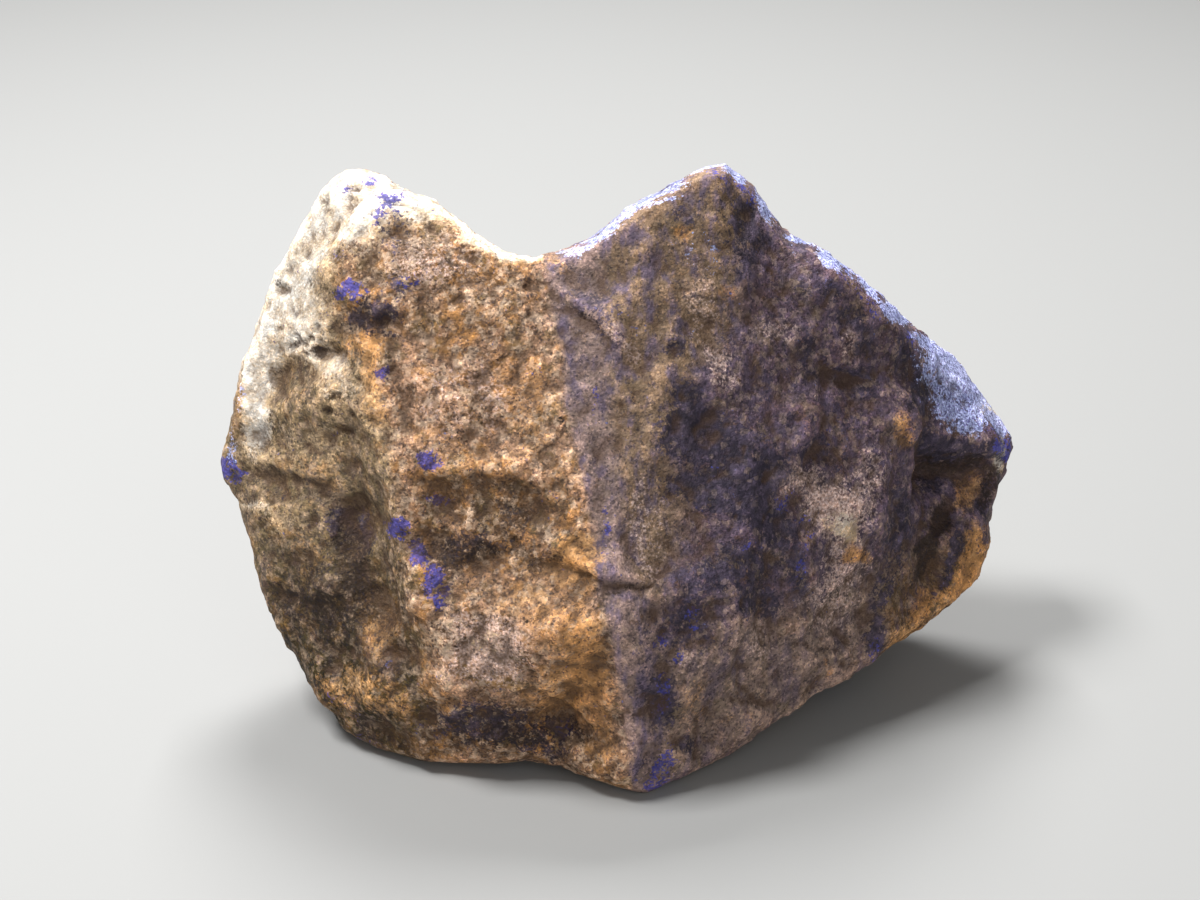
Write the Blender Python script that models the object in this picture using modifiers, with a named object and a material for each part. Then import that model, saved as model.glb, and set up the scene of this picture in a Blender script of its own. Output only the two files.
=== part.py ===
"""Raw lapis lazuli: one broken lump of blue and tan rock that stands on its own feet.

Blender 4.5, metres, +Z up. The front of the stone looks along -Y and +X is to its right.
The lump is blocked out from convex blocks that one skin is shrunk around. It is then
weathered with fracture facets, ledges, hollows and swells, broken back to the outline that
the photo shows, and worn level under its feet. What was read on the photo stays in pixels
here, and the functions below work out its places from the width and the eye.
"""

import math
import random

import bmesh
import bpy
import numpy as np
from mathutils import Vector, noise

# Driving dimensions, in metres. The width is that of the stone as the photo shows it.
MM = 0.001
SEEN_WIDTH = 66.0 * MM
SKIN_VOXEL = 0.95 * MM
SKIN_SMOOTHING = 3
SKIN_GROWTH = 0.15 * MM
TRIANGLES_WANTED = 9600
SEED = 11

# Every foot is worn flat where the rough shape would reach below the ground.
FOOT_CALM_HEIGHT = 2.5 * MM

# The eye that saw the photo: how far it looks down, how far off it is, and what it looks at.
EYE_TILT = math.radians(25.0)
EYE_DISTANCE = 194.0 * MM
EYE_CENTRE = np.array([0.0, 0.0, 21.7 * MM])
EYE_UP = np.array([0.0, math.sin(EYE_TILT), math.cos(EYE_TILT)])
EYE_TOWARDS = np.array([0.0, -math.cos(EYE_TILT), math.sin(EYE_TILT)])

# The same on the photo: the pixel of the middle, and those of the stone's two ends.
MIDDLE_PIXEL = (616, 480)
LEFT_END_PIXEL = 221
RIGHT_END_PIXEL = 1014
PIXEL = SEEN_WIDTH / (RIGHT_END_PIXEL - LEFT_END_PIXEL)

# The outline, clockwise, with a corner at each of its bends: pixels right and down on the
# photo, and millimetres towards the eye.
LEFT_PEAK_LINE = [
    (320, 192, 2.0), (335, 176, 2.5), (350, 169, 3.0), (362, 167, 3.0), (381, 172, 3.5),
    (396, 186, 4.0), (414, 194, 4.5), (432, 197, 5.0), (500, 248, 6.5),
]
SADDLE_LINE = [(521, 256, 6.5), (537, 256, 7.0), (552, 250, 7.0)]
RIGHT_PEAK_LINE = [
    (592, 234, 7.0), (628, 205, 7.0), (655, 190, 6.5), (704, 162, 6.0), (728, 161, 5.5),
    (741, 168, 5.0), (756, 184, 4.5), (792, 237, 3.0),
]
SHOULDER_LINE = [(816, 240, 2.0), (851, 268, -1.5), (897, 307, -5.5), (914, 328, -7.5)]
KNOB_LINE = [
    (935, 335, -11.0), (949, 345, -12.0), (961, 360, -13.0), (995, 409, -13.5),
    (1010, 432, -13.5), (1014, 449, -13.0), (1006, 472, -12.5), (998, 490, -12.5),
]
RIGHT_END_LINE = [
    (989, 525, -12.5), (994, 540, -12.0), (981, 578, -11.0), (967, 593, -10.5), (943, 611, -9.5),
]
KEEL_LINE = [
    (875, 660, -6.0), (829, 694, -3.5), (780, 720, -1.0), (756, 729, 0.0), (704, 764, 2.0),
    (662, 791, 3.5), (643, 798, 4.0), (615, 793, 4.0), (575, 780, 3.0), (545, 762, 2.0),
]
UNDERSIDE_LINE = [(531, 755, 1.5), (515, 758, 1.0), (470, 765, 0.0), (427, 765, -0.5), (400, 760, -1.0)]
LEFT_EDGE_LINE = [
    (374, 749, -1.5), (335, 715, -2.0), (313, 691, -3.0), (292, 657, -4.0), (258, 590, -4.0),
    (249, 535, -4.0), (241, 506, -4.0), (229, 483, -4.5), (221, 461, -5.0), (228, 440, -4.5),
    (234, 409, -4.0), (243, 360, -2.5), (252, 351, -2.0), (268, 281, -1.0), (298, 238, 1.0),
]
OUTLINE = (
    LEFT_PEAK_LINE + SADDLE_LINE + RIGHT_PEAK_LINE + SHOULDER_LINE + KNOB_LINE
    + RIGHT_END_LINE + KEEL_LINE + UNDERSIDE_LINE + LEFT_EDGE_LINE
)

# The blocks reach this much further out than the upper outline, and are broken back to it.
OUTLINE_REACH = 1.025

# Corners within the outline, read in the same way.
LEFT_LOBE_FACE = [
    (365, 218, 8.0), (345, 300, 8.0), (385, 400, 9.5), (560, 330, 9.0), (585, 480, 10.5),
    (420, 600, 9.0), (440, 715, 5.0), (570, 640, 10.5), (540, 740, 5.0),
]
RIGHT_PEAK_FACE = [
    (640, 215, 8.5), (712, 178, 7.5), (585, 480, 10.5), (735, 600, 8.0), (600, 600, 11.0),
    (840, 420, 2.5), (570, 640, 10.5),
]
SHOULDER_FACE = [
    (785, 238, 2.5), (830, 270, 3.0), (900, 345, -2.0), (922, 440, -4.0), (905, 520, -3.5),
    (735, 600, 8.0), (690, 440, 8.5),
]
SADDLE_FACE = [
    (487, 250, 6.0), (571, 249, 7.0), (490, 329, 8.5), (585, 329, 9.0), (533, 255, 7.5),
]
KNOB_FACE = [(903, 334, -5.0), (925, 443, -4.5), (965, 462, -7.0), (915, 360, -4.0)]
END_CORE_FACE = [
    (885, 435, -6.0), (998, 463, -13.5), (996, 525, -13.5), (972, 570, -12.5),
    (895, 573, -6.0), (944, 515, -8.5),
]
KEEL_FACE = [
    (1000, 487, -12.5), (900, 500, -3.5), (850, 540, 1.0), (735, 600, 8.0), (640, 740, 7.5),
    (600, 600, 11.0), (700, 560, 9.5),
]

# Corners of the back and the underside: millimetres along X, Y and Z.
LEFT_LOBE_BACK = [
    (-20.0, 12.5, 40.0), (-10.0, 11.0, 36.0), (-27.0, 14.0, 26.0), (-14.0, 20.0, 24.0),
    (-2.0, 18.0, 20.0), (-24.0, 12.0, 8.0), (-15.0, 14.0, -1.0), (-4.0, 13.0, 1.0),
]
RIGHT_PEAK_BACK = [
    (6.0, 12.0, 40.0), (11.0, 11.5, 41.0), (4.0, 20.0, 27.0), (17.0, 17.0, 30.0),
    (-6.0, 17.0, 24.0), (6.0, 18.0, 6.0),
]
SHOULDER_BACK = [(24.0, 17.0, 27.0), (12.0, 19.0, 24.0), (18.0, 18.0, 8.0)]
SADDLE_BACK = [(-10.0, 12.0, 35.0), (-2.0, 12.0, 35.0), (-6.0, 17.0, 26.0)]
KNOB_BACK = [(30.0, 17.5, 24.0), (33.0, 16.0, 16.0), (22.0, 18.0, 18.0)]
END_CORE_BACK = [(30.0, 16.0, 20.0), (32.0, 15.0, 13.0), (22.0, 17.0, 24.0), (24.0, 17.0, 6.0)]
KEEL_BACK = [
    (16.0, 15.0, -1.0), (12.0, 17.5, 3.0), (26.0, 15.0, 7.0), (31.0, 14.0, 10.0),
    (20.0, 4.0, 2.5), (-6.0, 12.0, 1.5), (-10.0, -4.0, 1.5),
]
BODY_BACK = [
    (-22.0, 14.0, 22.0), (-14.0, 20.0, 23.0), (4.0, 20.5, 26.0), (16.0, 18.5, 27.0),
    (26.0, 17.5, 22.0), (31.0, 15.0, 14.0), (26.0, 15.0, 7.0), (12.0, 16.5, 2.5),
    (-4.0, 15.0, 2.0), (-15.0, 14.0, 0.5), (-20.0, 8.0, 8.0), (0.0, -5.0, 20.0),
    (20.0, 3.0, 15.0), (4.0, 12.0, 35.0),
]

# Hollows and swells on the front: the pixel of the middle, half width and half height in
# pixels, and how far the surface goes out there (in, where it is less than nought) in millimetres.
SWELLS = {
    "hollow under the left peak": (375, 324, 38, 26, -0.8),
    "lit facet on the left flank": (328, 398, 43, 23, 0.9),
    "groove down the left edge": (278, 380, 13, 31, -0.8),
    "dark hollow of the flank": (360, 533, 31, 41, -0.9),
    "lower hollow of the flank": (370, 610, 36, 38, -0.7),
    "waxy lumps low on the flank": (348, 690, 41, 29, 0.8),
    "swell of the left front": (442, 380, 60, 60, 0.6),
    "hollow of the middle": (460, 550, 70, 38, -1.1),
    "swell above the front foot": (560, 640, 90, 50, 0.9),
    "hollow left of the front foot": (530, 720, 48, 29, -0.9),
    "groove beside the tan facet": (767, 617, 22, 41, -0.9),
    "swell low on the right": (820, 654, 54, 34, 0.6),
    "pale swell on the right": (850, 520, 31, 41, 0.6),
    "hollow high on the right": (830, 375, 41, 24, -0.6),
    "dip in the right slab": (724, 318, 48, 36, -0.4),
}

# Ledges on the front: the line from left to right in pixels, how far in millimetres the stone
# stands proud above it, and how many pixels above it this fades away.
LEDGES = {
    "overhang of the middle": ([(430, 478), (472, 473), (530, 480), (544, 500)], 1.0, 48),
    "broken step across the middle": ([(530, 557), (570, 563), (600, 582), (650, 586)], 0.7, 48),
    "overhang of the left edge": ([(220, 478), (261, 468), (300, 478), (330, 490)], 0.6, 36),
    "flake at the saddle": ([(538, 280), (574, 309), (623, 348)], 0.5, 36),
    "lip under the end knob": ([(905, 456), (952, 454), (1018, 461)], 0.5, 30),
}

# A ledge fades out over this many pixels at each end, and its edge takes this many below and
# above its line. The shares are of its rise, for what stands proud and for what steps back.
LEDGE_ENDS = 12
LEDGE_UNDER = 4
LEDGE_OVER = 6
PROUD_SHARE = 0.6
BACK_SHARE = 0.4

# Fracture facets: the spacing of their middles, how far each leans, how much of the way the
# skin is drawn to them, and the furthest that it is drawn, in millimetres.
BACK_FACETS = (8.0, 0.22, 0.95, 1.0)
FRONT_FACETS = (5.5, 0.13, 0.85, 0.7)
SMALL_FACETS = (2.8, 0.16, 0.60, 0.3)
FACET_EDGE = 0.35 * MM

# Lumpiness: wavelength and height in millimetres.
LUMPS = [(10.0, 0.35), (4.5, 0.22), (2.2, 0.14)]

STONE_COLOUR = (0.23, 0.19, 0.20, 1.0)
STONE_ROUGHNESS = 0.75


def seen(right, down, towards):
    """The place of a corner that was read on the photo, given in pixels and in millimetres."""
    pixel_there = PIXEL * (1.0 - towards * MM / EYE_DISTANCE)
    place = EYE_CENTRE + towards * MM * EYE_TOWARDS
    place += (MIDDLE_PIXEL[1] - down) * pixel_there * EYE_UP
    place[0] += (right - MIDDLE_PIXEL[0]) * pixel_there
    return Vector(place)


def past_outline(corners):
    """The corners of an outline, with the upper ones pushed out past it."""
    pushed = []
    for right, down, towards in corners:
        reach = OUTLINE_REACH if down < MIDDLE_PIXEL[1] else 1.0
        right = MIDDLE_PIXEL[0] + (right - MIDDLE_PIXEL[0]) * reach
        down = MIDDLE_PIXEL[1] + (down - MIDDLE_PIXEL[1]) * reach
        pushed.append((right, down, towards))
    return pushed


def pixel_size(places):
    """How many metres one pixel of the photo covers at each place."""
    return PIXEL * (1.0 - (places - EYE_CENTRE) @ EYE_TOWARDS / EYE_DISTANCE)


def on_photo(places):
    """Where the photo shows each place: pixels right and down."""
    from_centre = places - EYE_CENTRE
    metres = pixel_size(places)
    right = MIDDLE_PIXEL[0] + from_centre[:, 0] / metres
    down = MIDDLE_PIXEL[1] - from_centre @ EYE_UP / metres
    return np.stack([right, down], axis=1)


def smooth_step(low, high, values):
    """Nought below low, one above high, and an even curve between them."""
    part = np.clip((values - low) / (high - low), 0.0, 1.0)
    return part * part * (3.0 - 2.0 * part)


def convex_block(mesh, line, face_corners, back_corners):
    """Adds the convex hull of a block's corners to the mesh that is being blocked out."""
    places = [seen(*corner) for corner in past_outline(line) + face_corners]
    places += [Vector(corner) * MM for corner in back_corners]
    corners = [mesh.verts.new(place) for place in places]
    hull = bmesh.ops.convex_hull(mesh, input=corners)
    inside = set(hull["geom_interior"] + hull["geom_unused"])
    spare = [item for item in inside if isinstance(item, bmesh.types.BMVert)]
    bmesh.ops.delete(mesh, geom=spare, context="VERTS")


def blocked_out():
    """The blocks of the lump, overlapping, in one mesh."""
    mesh = bmesh.new()
    left_line = LEFT_PEAK_LINE + LEFT_EDGE_LINE + UNDERSIDE_LINE
    convex_block(mesh, left_line, LEFT_LOBE_FACE, LEFT_LOBE_BACK)
    convex_block(mesh, SADDLE_LINE + RIGHT_PEAK_LINE, RIGHT_PEAK_FACE, RIGHT_PEAK_BACK)
    convex_block(mesh, SHOULDER_LINE, SHOULDER_FACE, SHOULDER_BACK)
    convex_block(mesh, [], SADDLE_FACE, SADDLE_BACK)
    convex_block(mesh, KNOB_LINE, KNOB_FACE, KNOB_BACK)
    convex_block(mesh, [], END_CORE_FACE, END_CORE_BACK)
    convex_block(mesh, RIGHT_END_LINE + KEEL_LINE, KEEL_FACE, KEEL_BACK)
    convex_block(mesh, [], [], BODY_BACK)
    data = bpy.data.meshes.new("blocks")
    mesh.to_mesh(data)
    mesh.free()
    return data


def with_modifier(data, name, kind, **settings):
    """The mesh that one modifier makes of another mesh."""
    shape = bpy.data.objects.new("shape being made", data)
    bpy.context.scene.collection.objects.link(shape)
    modifier = shape.modifiers.new(name, kind)
    for setting, value in settings.items():
        setattr(modifier, setting, value)
    graph = bpy.context.evaluated_depsgraph_get()
    result = bpy.data.meshes.new_from_object(shape.evaluated_get(graph))
    bpy.data.objects.remove(shape)
    bpy.data.meshes.remove(data)
    return result


def vertex_places(data):
    """The places of a mesh's vertices as an array."""
    flat = np.empty(len(data.vertices) * 3)
    data.vertices.foreach_get("co", flat)
    return flat.reshape(-1, 3)


def vertex_normals(data):
    """The outward directions at a mesh's vertices as an array."""
    flat = np.empty(len(data.vertices) * 3)
    data.vertices.foreach_get("normal", flat)
    return flat.reshape(-1, 3)


def put_vertices(data, places):
    """Moves a mesh's vertices to new places."""
    data.vertices.foreach_set("co", places.ravel())
    data.update()


def calm_near_ground(places):
    """How much of a move each place gets: none at the ground, all of it a little higher up."""
    return smooth_step(0.2 * MM, FOOT_CALM_HEIGHT, places[:, 2])


def add_swells(data):
    """Raises the swells and sinks the hollows of the front."""
    places = vertex_places(data)
    normals = vertex_normals(data)
    view = on_photo(places)
    facing = smooth_step(0.0, 0.35, normals @ EYE_TOWARDS) * calm_near_ground(places)
    for right, down, half_width, half_height, rise in SWELLS.values():
        reach = ((view[:, 0] - right) / half_width) ** 2 + ((view[:, 1] - down) / half_height) ** 2
        places += normals * (np.exp(-reach) * facing * rise * MM)[:, None]
    put_vertices(data, places)


def height_above_line(view, line):
    """How far above a line each place is seen, and how much of it lies over the line's length."""
    line_right = [corner[0] for corner in line]
    line_down = [corner[1] for corner in line]
    above = np.interp(view[:, 0], line_right, line_down) - view[:, 1]
    start = smooth_step(line_right[0] - LEDGE_ENDS, line_right[0] + LEDGE_ENDS, view[:, 0])
    end = 1.0 - smooth_step(line_right[-1] - LEDGE_ENDS, line_right[-1] + LEDGE_ENDS, view[:, 0])
    return above, start * end


def add_ledges(data):
    """Makes the stone stand proud above each ledge line and steps it back below."""
    places = vertex_places(data)
    normals = vertex_normals(data)
    view = on_photo(places)
    facing = smooth_step(0.0, 0.35, normals @ EYE_TOWARDS) * calm_near_ground(places)
    for line, rise, fade in LEDGES.values():
        above, over = height_above_line(view, line)
        edge = smooth_step(-LEDGE_UNDER, LEDGE_OVER, above)
        proud = edge * (1.0 - smooth_step(LEDGE_OVER, fade, above))
        below = smooth_step(-fade, -LEDGE_UNDER, above) * (1.0 - edge)
        step = (PROUD_SHARE * proud - BACK_SHARE * below) * rise * MM
        places += normals * (step * over * facing)[:, None]
    put_vertices(data, places)


def facet_middles(places, choice, spacing, chances):
    """Vertices, out of a choice, that lie at least the spacing apart."""
    order = list(choice)
    chances.shuffle(order)
    middles = []
    for vertex in order:
        apart = np.linalg.norm(places[middles] - places[vertex], axis=1)
        if not middles or apart.min() > spacing * MM:
            middles.append(vertex)
    return middles


def add_facets(data, chances, facets, least_facing, most_facing):
    """Draws the skin to flat facets that meet in creases, over one side of the stone."""
    spacing, lean, part, furthest = facets
    places = vertex_places(data)
    normals = vertex_normals(data)
    facing = normals @ EYE_TOWARDS
    choice = np.flatnonzero((facing > least_facing) & (facing < most_facing))
    middles = facet_middles(places, choice, spacing, chances)
    leans = np.array([[chances.uniform(-lean, lean) for _ in range(3)] for _ in middles])
    outward = normals[middles] + leans
    outward /= np.linalg.norm(outward, axis=1)[:, None]
    apart = np.linalg.norm(places[:, None, :] - places[middles][None, :, :], axis=2)
    share = np.exp((apart.min(axis=1)[:, None] - apart) / FACET_EDGE)
    share /= share.sum(axis=1)[:, None]
    short = np.einsum("vfk,fk->vf", places[middles][None, :, :] - places[:, None, :], outward)
    short = np.clip(short * part, -furthest * MM, furthest * MM)
    near = 1.0 - smooth_step(0.9 * spacing * MM, 1.3 * spacing * MM, apart.min(axis=1))
    move = np.einsum("vf,fk->vk", share * short, outward)
    put_vertices(data, places + move * (near * calm_near_ground(places))[:, None])


def add_lumps(data):
    """Gives the whole skin its broken lumpiness."""
    places = vertex_places(data)
    normals = vertex_normals(data)
    calm = calm_near_ground(places)
    heights = np.zeros(len(places))
    for wavelength, height in LUMPS:
        for index, place in enumerate(places):
            heights[index] += height * MM * noise.noise(Vector(place / (wavelength * MM)))
    put_vertices(data, places + normals * (heights * calm)[:, None])


def grow_skin(data):
    """Swells the whole skin a little, so that it fills its outline before it is broken back to it."""
    places = vertex_places(data)
    normals = vertex_normals(data)
    put_vertices(data, places + normals * (SKIN_GROWTH * calm_near_ground(places))[:, None])


def nearest_on_outline(view):
    """The nearest place on the outline to each place in the view, and whether it lies outside."""
    corners = np.array([corner[:2] for corner in OUTLINE], dtype=float)
    nearest = np.zeros_like(view)
    least = np.full(len(view), np.inf)
    inside = np.zeros(len(view), dtype=bool)
    for start, end in zip(corners, np.roll(corners, -1, axis=0)):
        run = end - start
        share = np.clip((view - start) @ run / (run @ run), 0.0, 1.0)
        on_edge = start + share[:, None] * run
        apart = np.linalg.norm(view - on_edge, axis=1)
        closer = apart < least
        least[closer] = apart[closer]
        nearest[closer] = on_edge[closer]
        if start[1] != end[1]:
            level = (start[1] > view[:, 1]) != (end[1] > view[:, 1])
            crossing = start[0] + (view[:, 1] - start[1]) / run[1] * run[0]
            inside ^= level & (view[:, 0] < crossing)
    return nearest, ~inside


def break_back_to_outline(data):
    """Breaks whatever stands out beyond the outline back to it."""
    places = vertex_places(data)
    view = on_photo(places)
    nearest, outside = nearest_on_outline(view)
    part = pixel_size(places) * outside * calm_near_ground(places)
    move = (nearest - view) * part[:, None]
    places -= EYE_UP * move[:, 1][:, None]
    places[:, 0] += move[:, 0]
    put_vertices(data, places)


def wear_feet_level(data):
    """Levels whatever lies below the ground, so that each foot has a flat facet."""
    places = vertex_places(data)
    places[:, 2] = np.where(places[:, 2] < 0.03 * MM, 0.0, places[:, 2])
    put_vertices(data, places)


def centre_on_base(data):
    """Moves the stone so that the origin is under the middle of its box."""
    places = vertex_places(data)
    middle = (places.min(axis=0) + places.max(axis=0)) / 2.0
    places[:, 0] -= middle[0]
    places[:, 1] -= middle[1]
    put_vertices(data, places)


def stone_material():
    """The plain finish of the stone."""
    material = bpy.data.materials.new("lapis_stone")
    material.use_nodes = True
    finish = material.node_tree.nodes["Principled BSDF"]
    finish.inputs["Base Color"].default_value = STONE_COLOUR
    finish.inputs["Roughness"].default_value = STONE_ROUGHNESS
    return material


def weathered_skin():
    """The whole stone as one closed skin."""
    chances = random.Random(SEED)
    skin = blocked_out()
    skin = with_modifier(skin, "one skin", "REMESH", mode="VOXEL", voxel_size=SKIN_VOXEL)
    skin = with_modifier(skin, "softer creases", "SMOOTH", factor=0.5, iterations=SKIN_SMOOTHING)
    grow_skin(skin)
    add_facets(skin, chances, BACK_FACETS, -1.0, 0.0)
    add_facets(skin, chances, FRONT_FACETS, 0.0, 1.0)
    add_facets(skin, chances, SMALL_FACETS, -1.0, 1.0)
    add_swells(skin)
    add_ledges(skin)
    add_lumps(skin)
    break_back_to_outline(skin)
    wear_feet_level(skin)
    triangles = 2 * len(skin.polygons)
    skin = with_modifier(skin, "fewer facets", "DECIMATE", ratio=TRIANGLES_WANTED / triangles)
    wear_feet_level(skin)
    centre_on_base(skin)
    return skin


def main():
    """Builds the stone in a collection of its own."""
    for old in list(bpy.data.objects):
        bpy.data.objects.remove(old)
    skin = weathered_skin()
    skin.name = "lapis_lazuli"
    skin.materials.clear()
    skin.materials.append(stone_material())
    collection = bpy.data.collections.new("raw_lapis_lazuli")
    bpy.context.scene.collection.children.link(collection)
    stone = bpy.data.objects.new("lapis_lazuli", skin)
    collection.objects.link(stone)


main()
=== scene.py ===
"""Raw lapis lazuli: one broken lump of blue, tan and chalky rock on a plain pale floor."""

import logging
import math
from dataclasses import dataclass
from dataclasses import field
from enum import Enum
from typing import Any
from typing import Callable

import bpy
import numpy as np
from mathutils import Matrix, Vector
from mathutils import noise


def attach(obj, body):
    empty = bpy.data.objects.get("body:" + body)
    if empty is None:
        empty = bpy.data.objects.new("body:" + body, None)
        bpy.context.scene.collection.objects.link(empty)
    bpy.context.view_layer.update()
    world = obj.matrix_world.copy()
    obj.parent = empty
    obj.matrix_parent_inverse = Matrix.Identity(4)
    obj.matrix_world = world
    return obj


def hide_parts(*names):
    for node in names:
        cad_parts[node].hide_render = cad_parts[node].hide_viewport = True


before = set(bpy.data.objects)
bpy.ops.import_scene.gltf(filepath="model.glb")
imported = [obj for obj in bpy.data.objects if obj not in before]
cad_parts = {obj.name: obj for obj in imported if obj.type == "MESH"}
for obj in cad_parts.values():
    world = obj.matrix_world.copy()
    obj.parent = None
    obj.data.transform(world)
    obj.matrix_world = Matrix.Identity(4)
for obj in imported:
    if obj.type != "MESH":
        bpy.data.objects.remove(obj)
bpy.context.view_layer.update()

log = logging.getLogger("raw_lapis_lazuli")

MM = 0.001
CHIP_SCATTER = 9.7
CHIP_EDGE = 5.0
PATCH_CORE = 0.45
PATCH_REACH = 1.55
Colour = tuple[float, float, float, float]
Line = tuple[tuple[float, float], ...]


# Where the photo's camera sees things


@dataclass(frozen=True)
class PhotoView:
    """The camera of the photograph, and where it sees each place of the stone.

    Pixels are those of the 1200 by 900 frame, counted from its top left corner.
    """

    middle: tuple[float, float, float] = (-0.00084, -0.002804, 0.0217)
    middle_pixel: tuple[float, float] = (616.0, 480.0)
    frame_pixels: tuple[float, float] = (1200.0, 900.0)
    tilt: float = math.radians(25.0)
    distance: float = 0.194
    pixel: float = 0.0000832
    sensor: float = 36.0
    nearest: float = 0.005

    @property
    def up(self) -> np.ndarray:
        """The direction that the camera sees as up."""
        return np.array([0.0, math.sin(self.tilt), math.cos(self.tilt)])

    @property
    def towards(self) -> np.ndarray:
        """The direction from the stone to the camera."""
        return np.array([0.0, -math.cos(self.tilt), math.sin(self.tilt)])

    def pixels(self, places: np.ndarray) -> tuple[np.ndarray, np.ndarray]:
        """Finds where places are seen.

        Args:
            places: One row of x, y and z in metres for each place.

        Returns:
            The pixels across and the pixels down, one of each for each place.
        """
        offsets = places - np.array(self.middle)
        nearness = 1.0 - (offsets @ self.towards) / self.distance
        across = self.middle_pixel[0] + offsets[:, 0] / nearness / self.pixel
        down = self.middle_pixel[1] - (offsets @ self.up) / nearness / self.pixel
        return across, down

    def set_camera(self) -> bpy.types.Object:
        """Adds the camera, so that the stone's middle falls on its own pixel.

        Returns:
            The camera object.
        """
        lens_data = bpy.data.cameras.new("photo_camera")
        lens_data.sensor_width = self.sensor
        lens_data.lens = self.sensor * self.distance / (self.frame_pixels[0] * self.pixel)
        lens_data.clip_start = self.nearest
        camera = bpy.data.objects.new("photo_camera", lens_data)
        bpy.context.scene.collection.objects.link(camera)
        aside = (self.middle_pixel[0] - self.frame_pixels[0] / 2.0) * self.pixel
        above = (self.middle_pixel[1] - self.frame_pixels[1] / 2.0) * self.pixel
        place = np.array(self.middle) + self.towards * self.distance
        place = place + self.up * above - np.array([aside, 0.0, 0.0])
        camera.location = Vector(place)
        camera.rotation_mode = "XYZ"
        camera.rotation_euler = (math.pi / 2.0 - self.tilt, 0.0, 0.0)
        bpy.context.scene.camera = camera
        return camera


def smooth_step(low: float, high: float, values: np.ndarray) -> np.ndarray:
    """Rises evenly from nought, where values are low, to one, where they are high."""
    part = np.clip((values - low) / (high - low), 0.0, 1.0)
    return part * part * (3.0 - 2.0 * part)


def lumpy(places: np.ndarray, size: float, shift: float = 0.0) -> np.ndarray:
    """Gives each place noise of about minus one to one, in lumps of a size in millimetres."""
    scaled = places / (size * MM) + shift
    return np.array([noise.noise(Vector(place)) for place in scaled])


def chips(places: np.ndarray, size: float, shift: float = 0.0) -> np.ndarray:
    """Small broken planes, side by side, each of which leans its own way.

    Args:
        places: One row of x, y and z in metres for each place.
        size: The size of one plane, in millimetres.
        shift: Moves the pattern, so that two of one size differ.

    Returns:
        The height of each place on its plane, about minus one half to one half.
    """
    scaled = places / (size * MM) + shift
    heights = np.empty(len(scaled))
    for index, place in enumerate(scaled):
        apart, middles = noise.voronoi(Vector(place))
        lean = noise.cell_vector(middles[0] * CHIP_SCATTER) - Vector((0.5, 0.5, 0.5))
        edge = min(1.0, (apart[1] - apart[0]) * CHIP_EDGE)
        heights[index] = (Vector(place) - middles[0]).dot(lean) * edge
    return heights


# What lies where on the rock's face


@dataclass(frozen=True)
class Patch:
    """An oval on the stone's face, as the camera sees it, in pixels, and its turn in degrees.

    It is whole up to its core and gone past its reach, both in shares of its half sizes.
    """

    across: float
    down: float
    half_width: float
    half_height: float
    strength: float = 1.0
    turn: float = 0.0

    def cover(self, across: np.ndarray, down: np.ndarray) -> np.ndarray:
        """Says how much of each place the patch covers.

        Args:
            across: Pixels across, one for each place.
            down: Pixels down, one for each place.

        Returns:
            A share for each place, at most the patch's strength.
        """
        angle = math.radians(self.turn)
        aside = across - self.across
        below = down - self.down
        along = aside * math.cos(angle) + below * math.sin(angle)
        athwart = -aside * math.sin(angle) + below * math.cos(angle)
        reach = np.sqrt((along / self.half_width) ** 2 + (athwart / self.half_height) ** 2)
        return self.strength * (1.0 - smooth_step(PATCH_CORE, PATCH_REACH, reach))


def patches(*rows: tuple[float, ...]) -> tuple[Patch, ...]:
    """Makes patches of rows: across, down, half width, half height, strength and turn."""
    return tuple(Patch(*row) for row in rows)


def covered(across: np.ndarray, down: np.ndarray, ovals: tuple[Patch, ...]) -> np.ndarray:
    """Adds patches up, each over the others.

    Args:
        across: Pixels across, one for each place.
        down: Pixels down, one for each place.
        ovals: The patches.

    Returns:
        The share of each place that they cover together.
    """
    bare = np.ones(len(across))
    for oval in ovals:
        bare *= 1.0 - np.clip(oval.cover(across, down), 0.0, 1.0)
    return 1.0 - bare


def above_line(across: np.ndarray, down: np.ndarray, line: Line) -> np.ndarray:
    """Measures places against a line that runs from left to right.

    Args:
        across: Pixels across, one for each place.
        down: Pixels down, one for each place.
        line: The line's corners in pixels.

    Returns:
        How far each place is from the line, with a minus below it.
    """
    nearest = np.full(len(across), np.inf)
    signed = np.full(len(across), np.inf)
    for start, end in zip(line[:-1], line[1:]):
        run = np.array([end[0] - start[0], end[1] - start[1]])
        length = float(np.hypot(run[0], run[1]))
        aside = across - start[0]
        below = down - start[1]
        share = np.clip((aside * run[0] + below * run[1]) / length ** 2, 0.0, 1.0)
        apart = np.hypot(aside - share * run[0], below - share * run[1])
        above = -(run[0] * below - run[1] * aside) / length
        closer = apart < nearest
        nearest = np.where(closer, apart, nearest)
        signed = np.where(closer, np.where(above >= 0.0, apart, -apart), signed)
    return signed


def between_ends(across: np.ndarray, line: Line, outside: float, inside: float) -> np.ndarray:
    """Fades from one, well inside a line's two ends, to nought, well outside them."""
    left = smooth_step(-outside, inside, across - line[0][0])
    return left * smooth_step(-outside, inside, line[-1][0] - across)


def right_of(across: np.ndarray, down: np.ndarray, line: Line, soft: float) -> np.ndarray:
    """Gives one to the right of a line that runs down the stone, nought to the left, softly."""
    edge = np.interp(down, [corner[1] for corner in line], [corner[0] for corner in line])
    return smooth_step(-soft, soft, across - edge)


@dataclass(frozen=True)
class Crack:
    """A crack or groove along a line, in pixels, and its depth in millimetres."""

    line: Line
    half_width: float
    depth: float


@dataclass(frozen=True)
class Ledge:
    """A step along a line: the stone stands proud above it, by millimetres that fade over pixels."""

    line: Line
    rise: float
    fade: float


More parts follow.
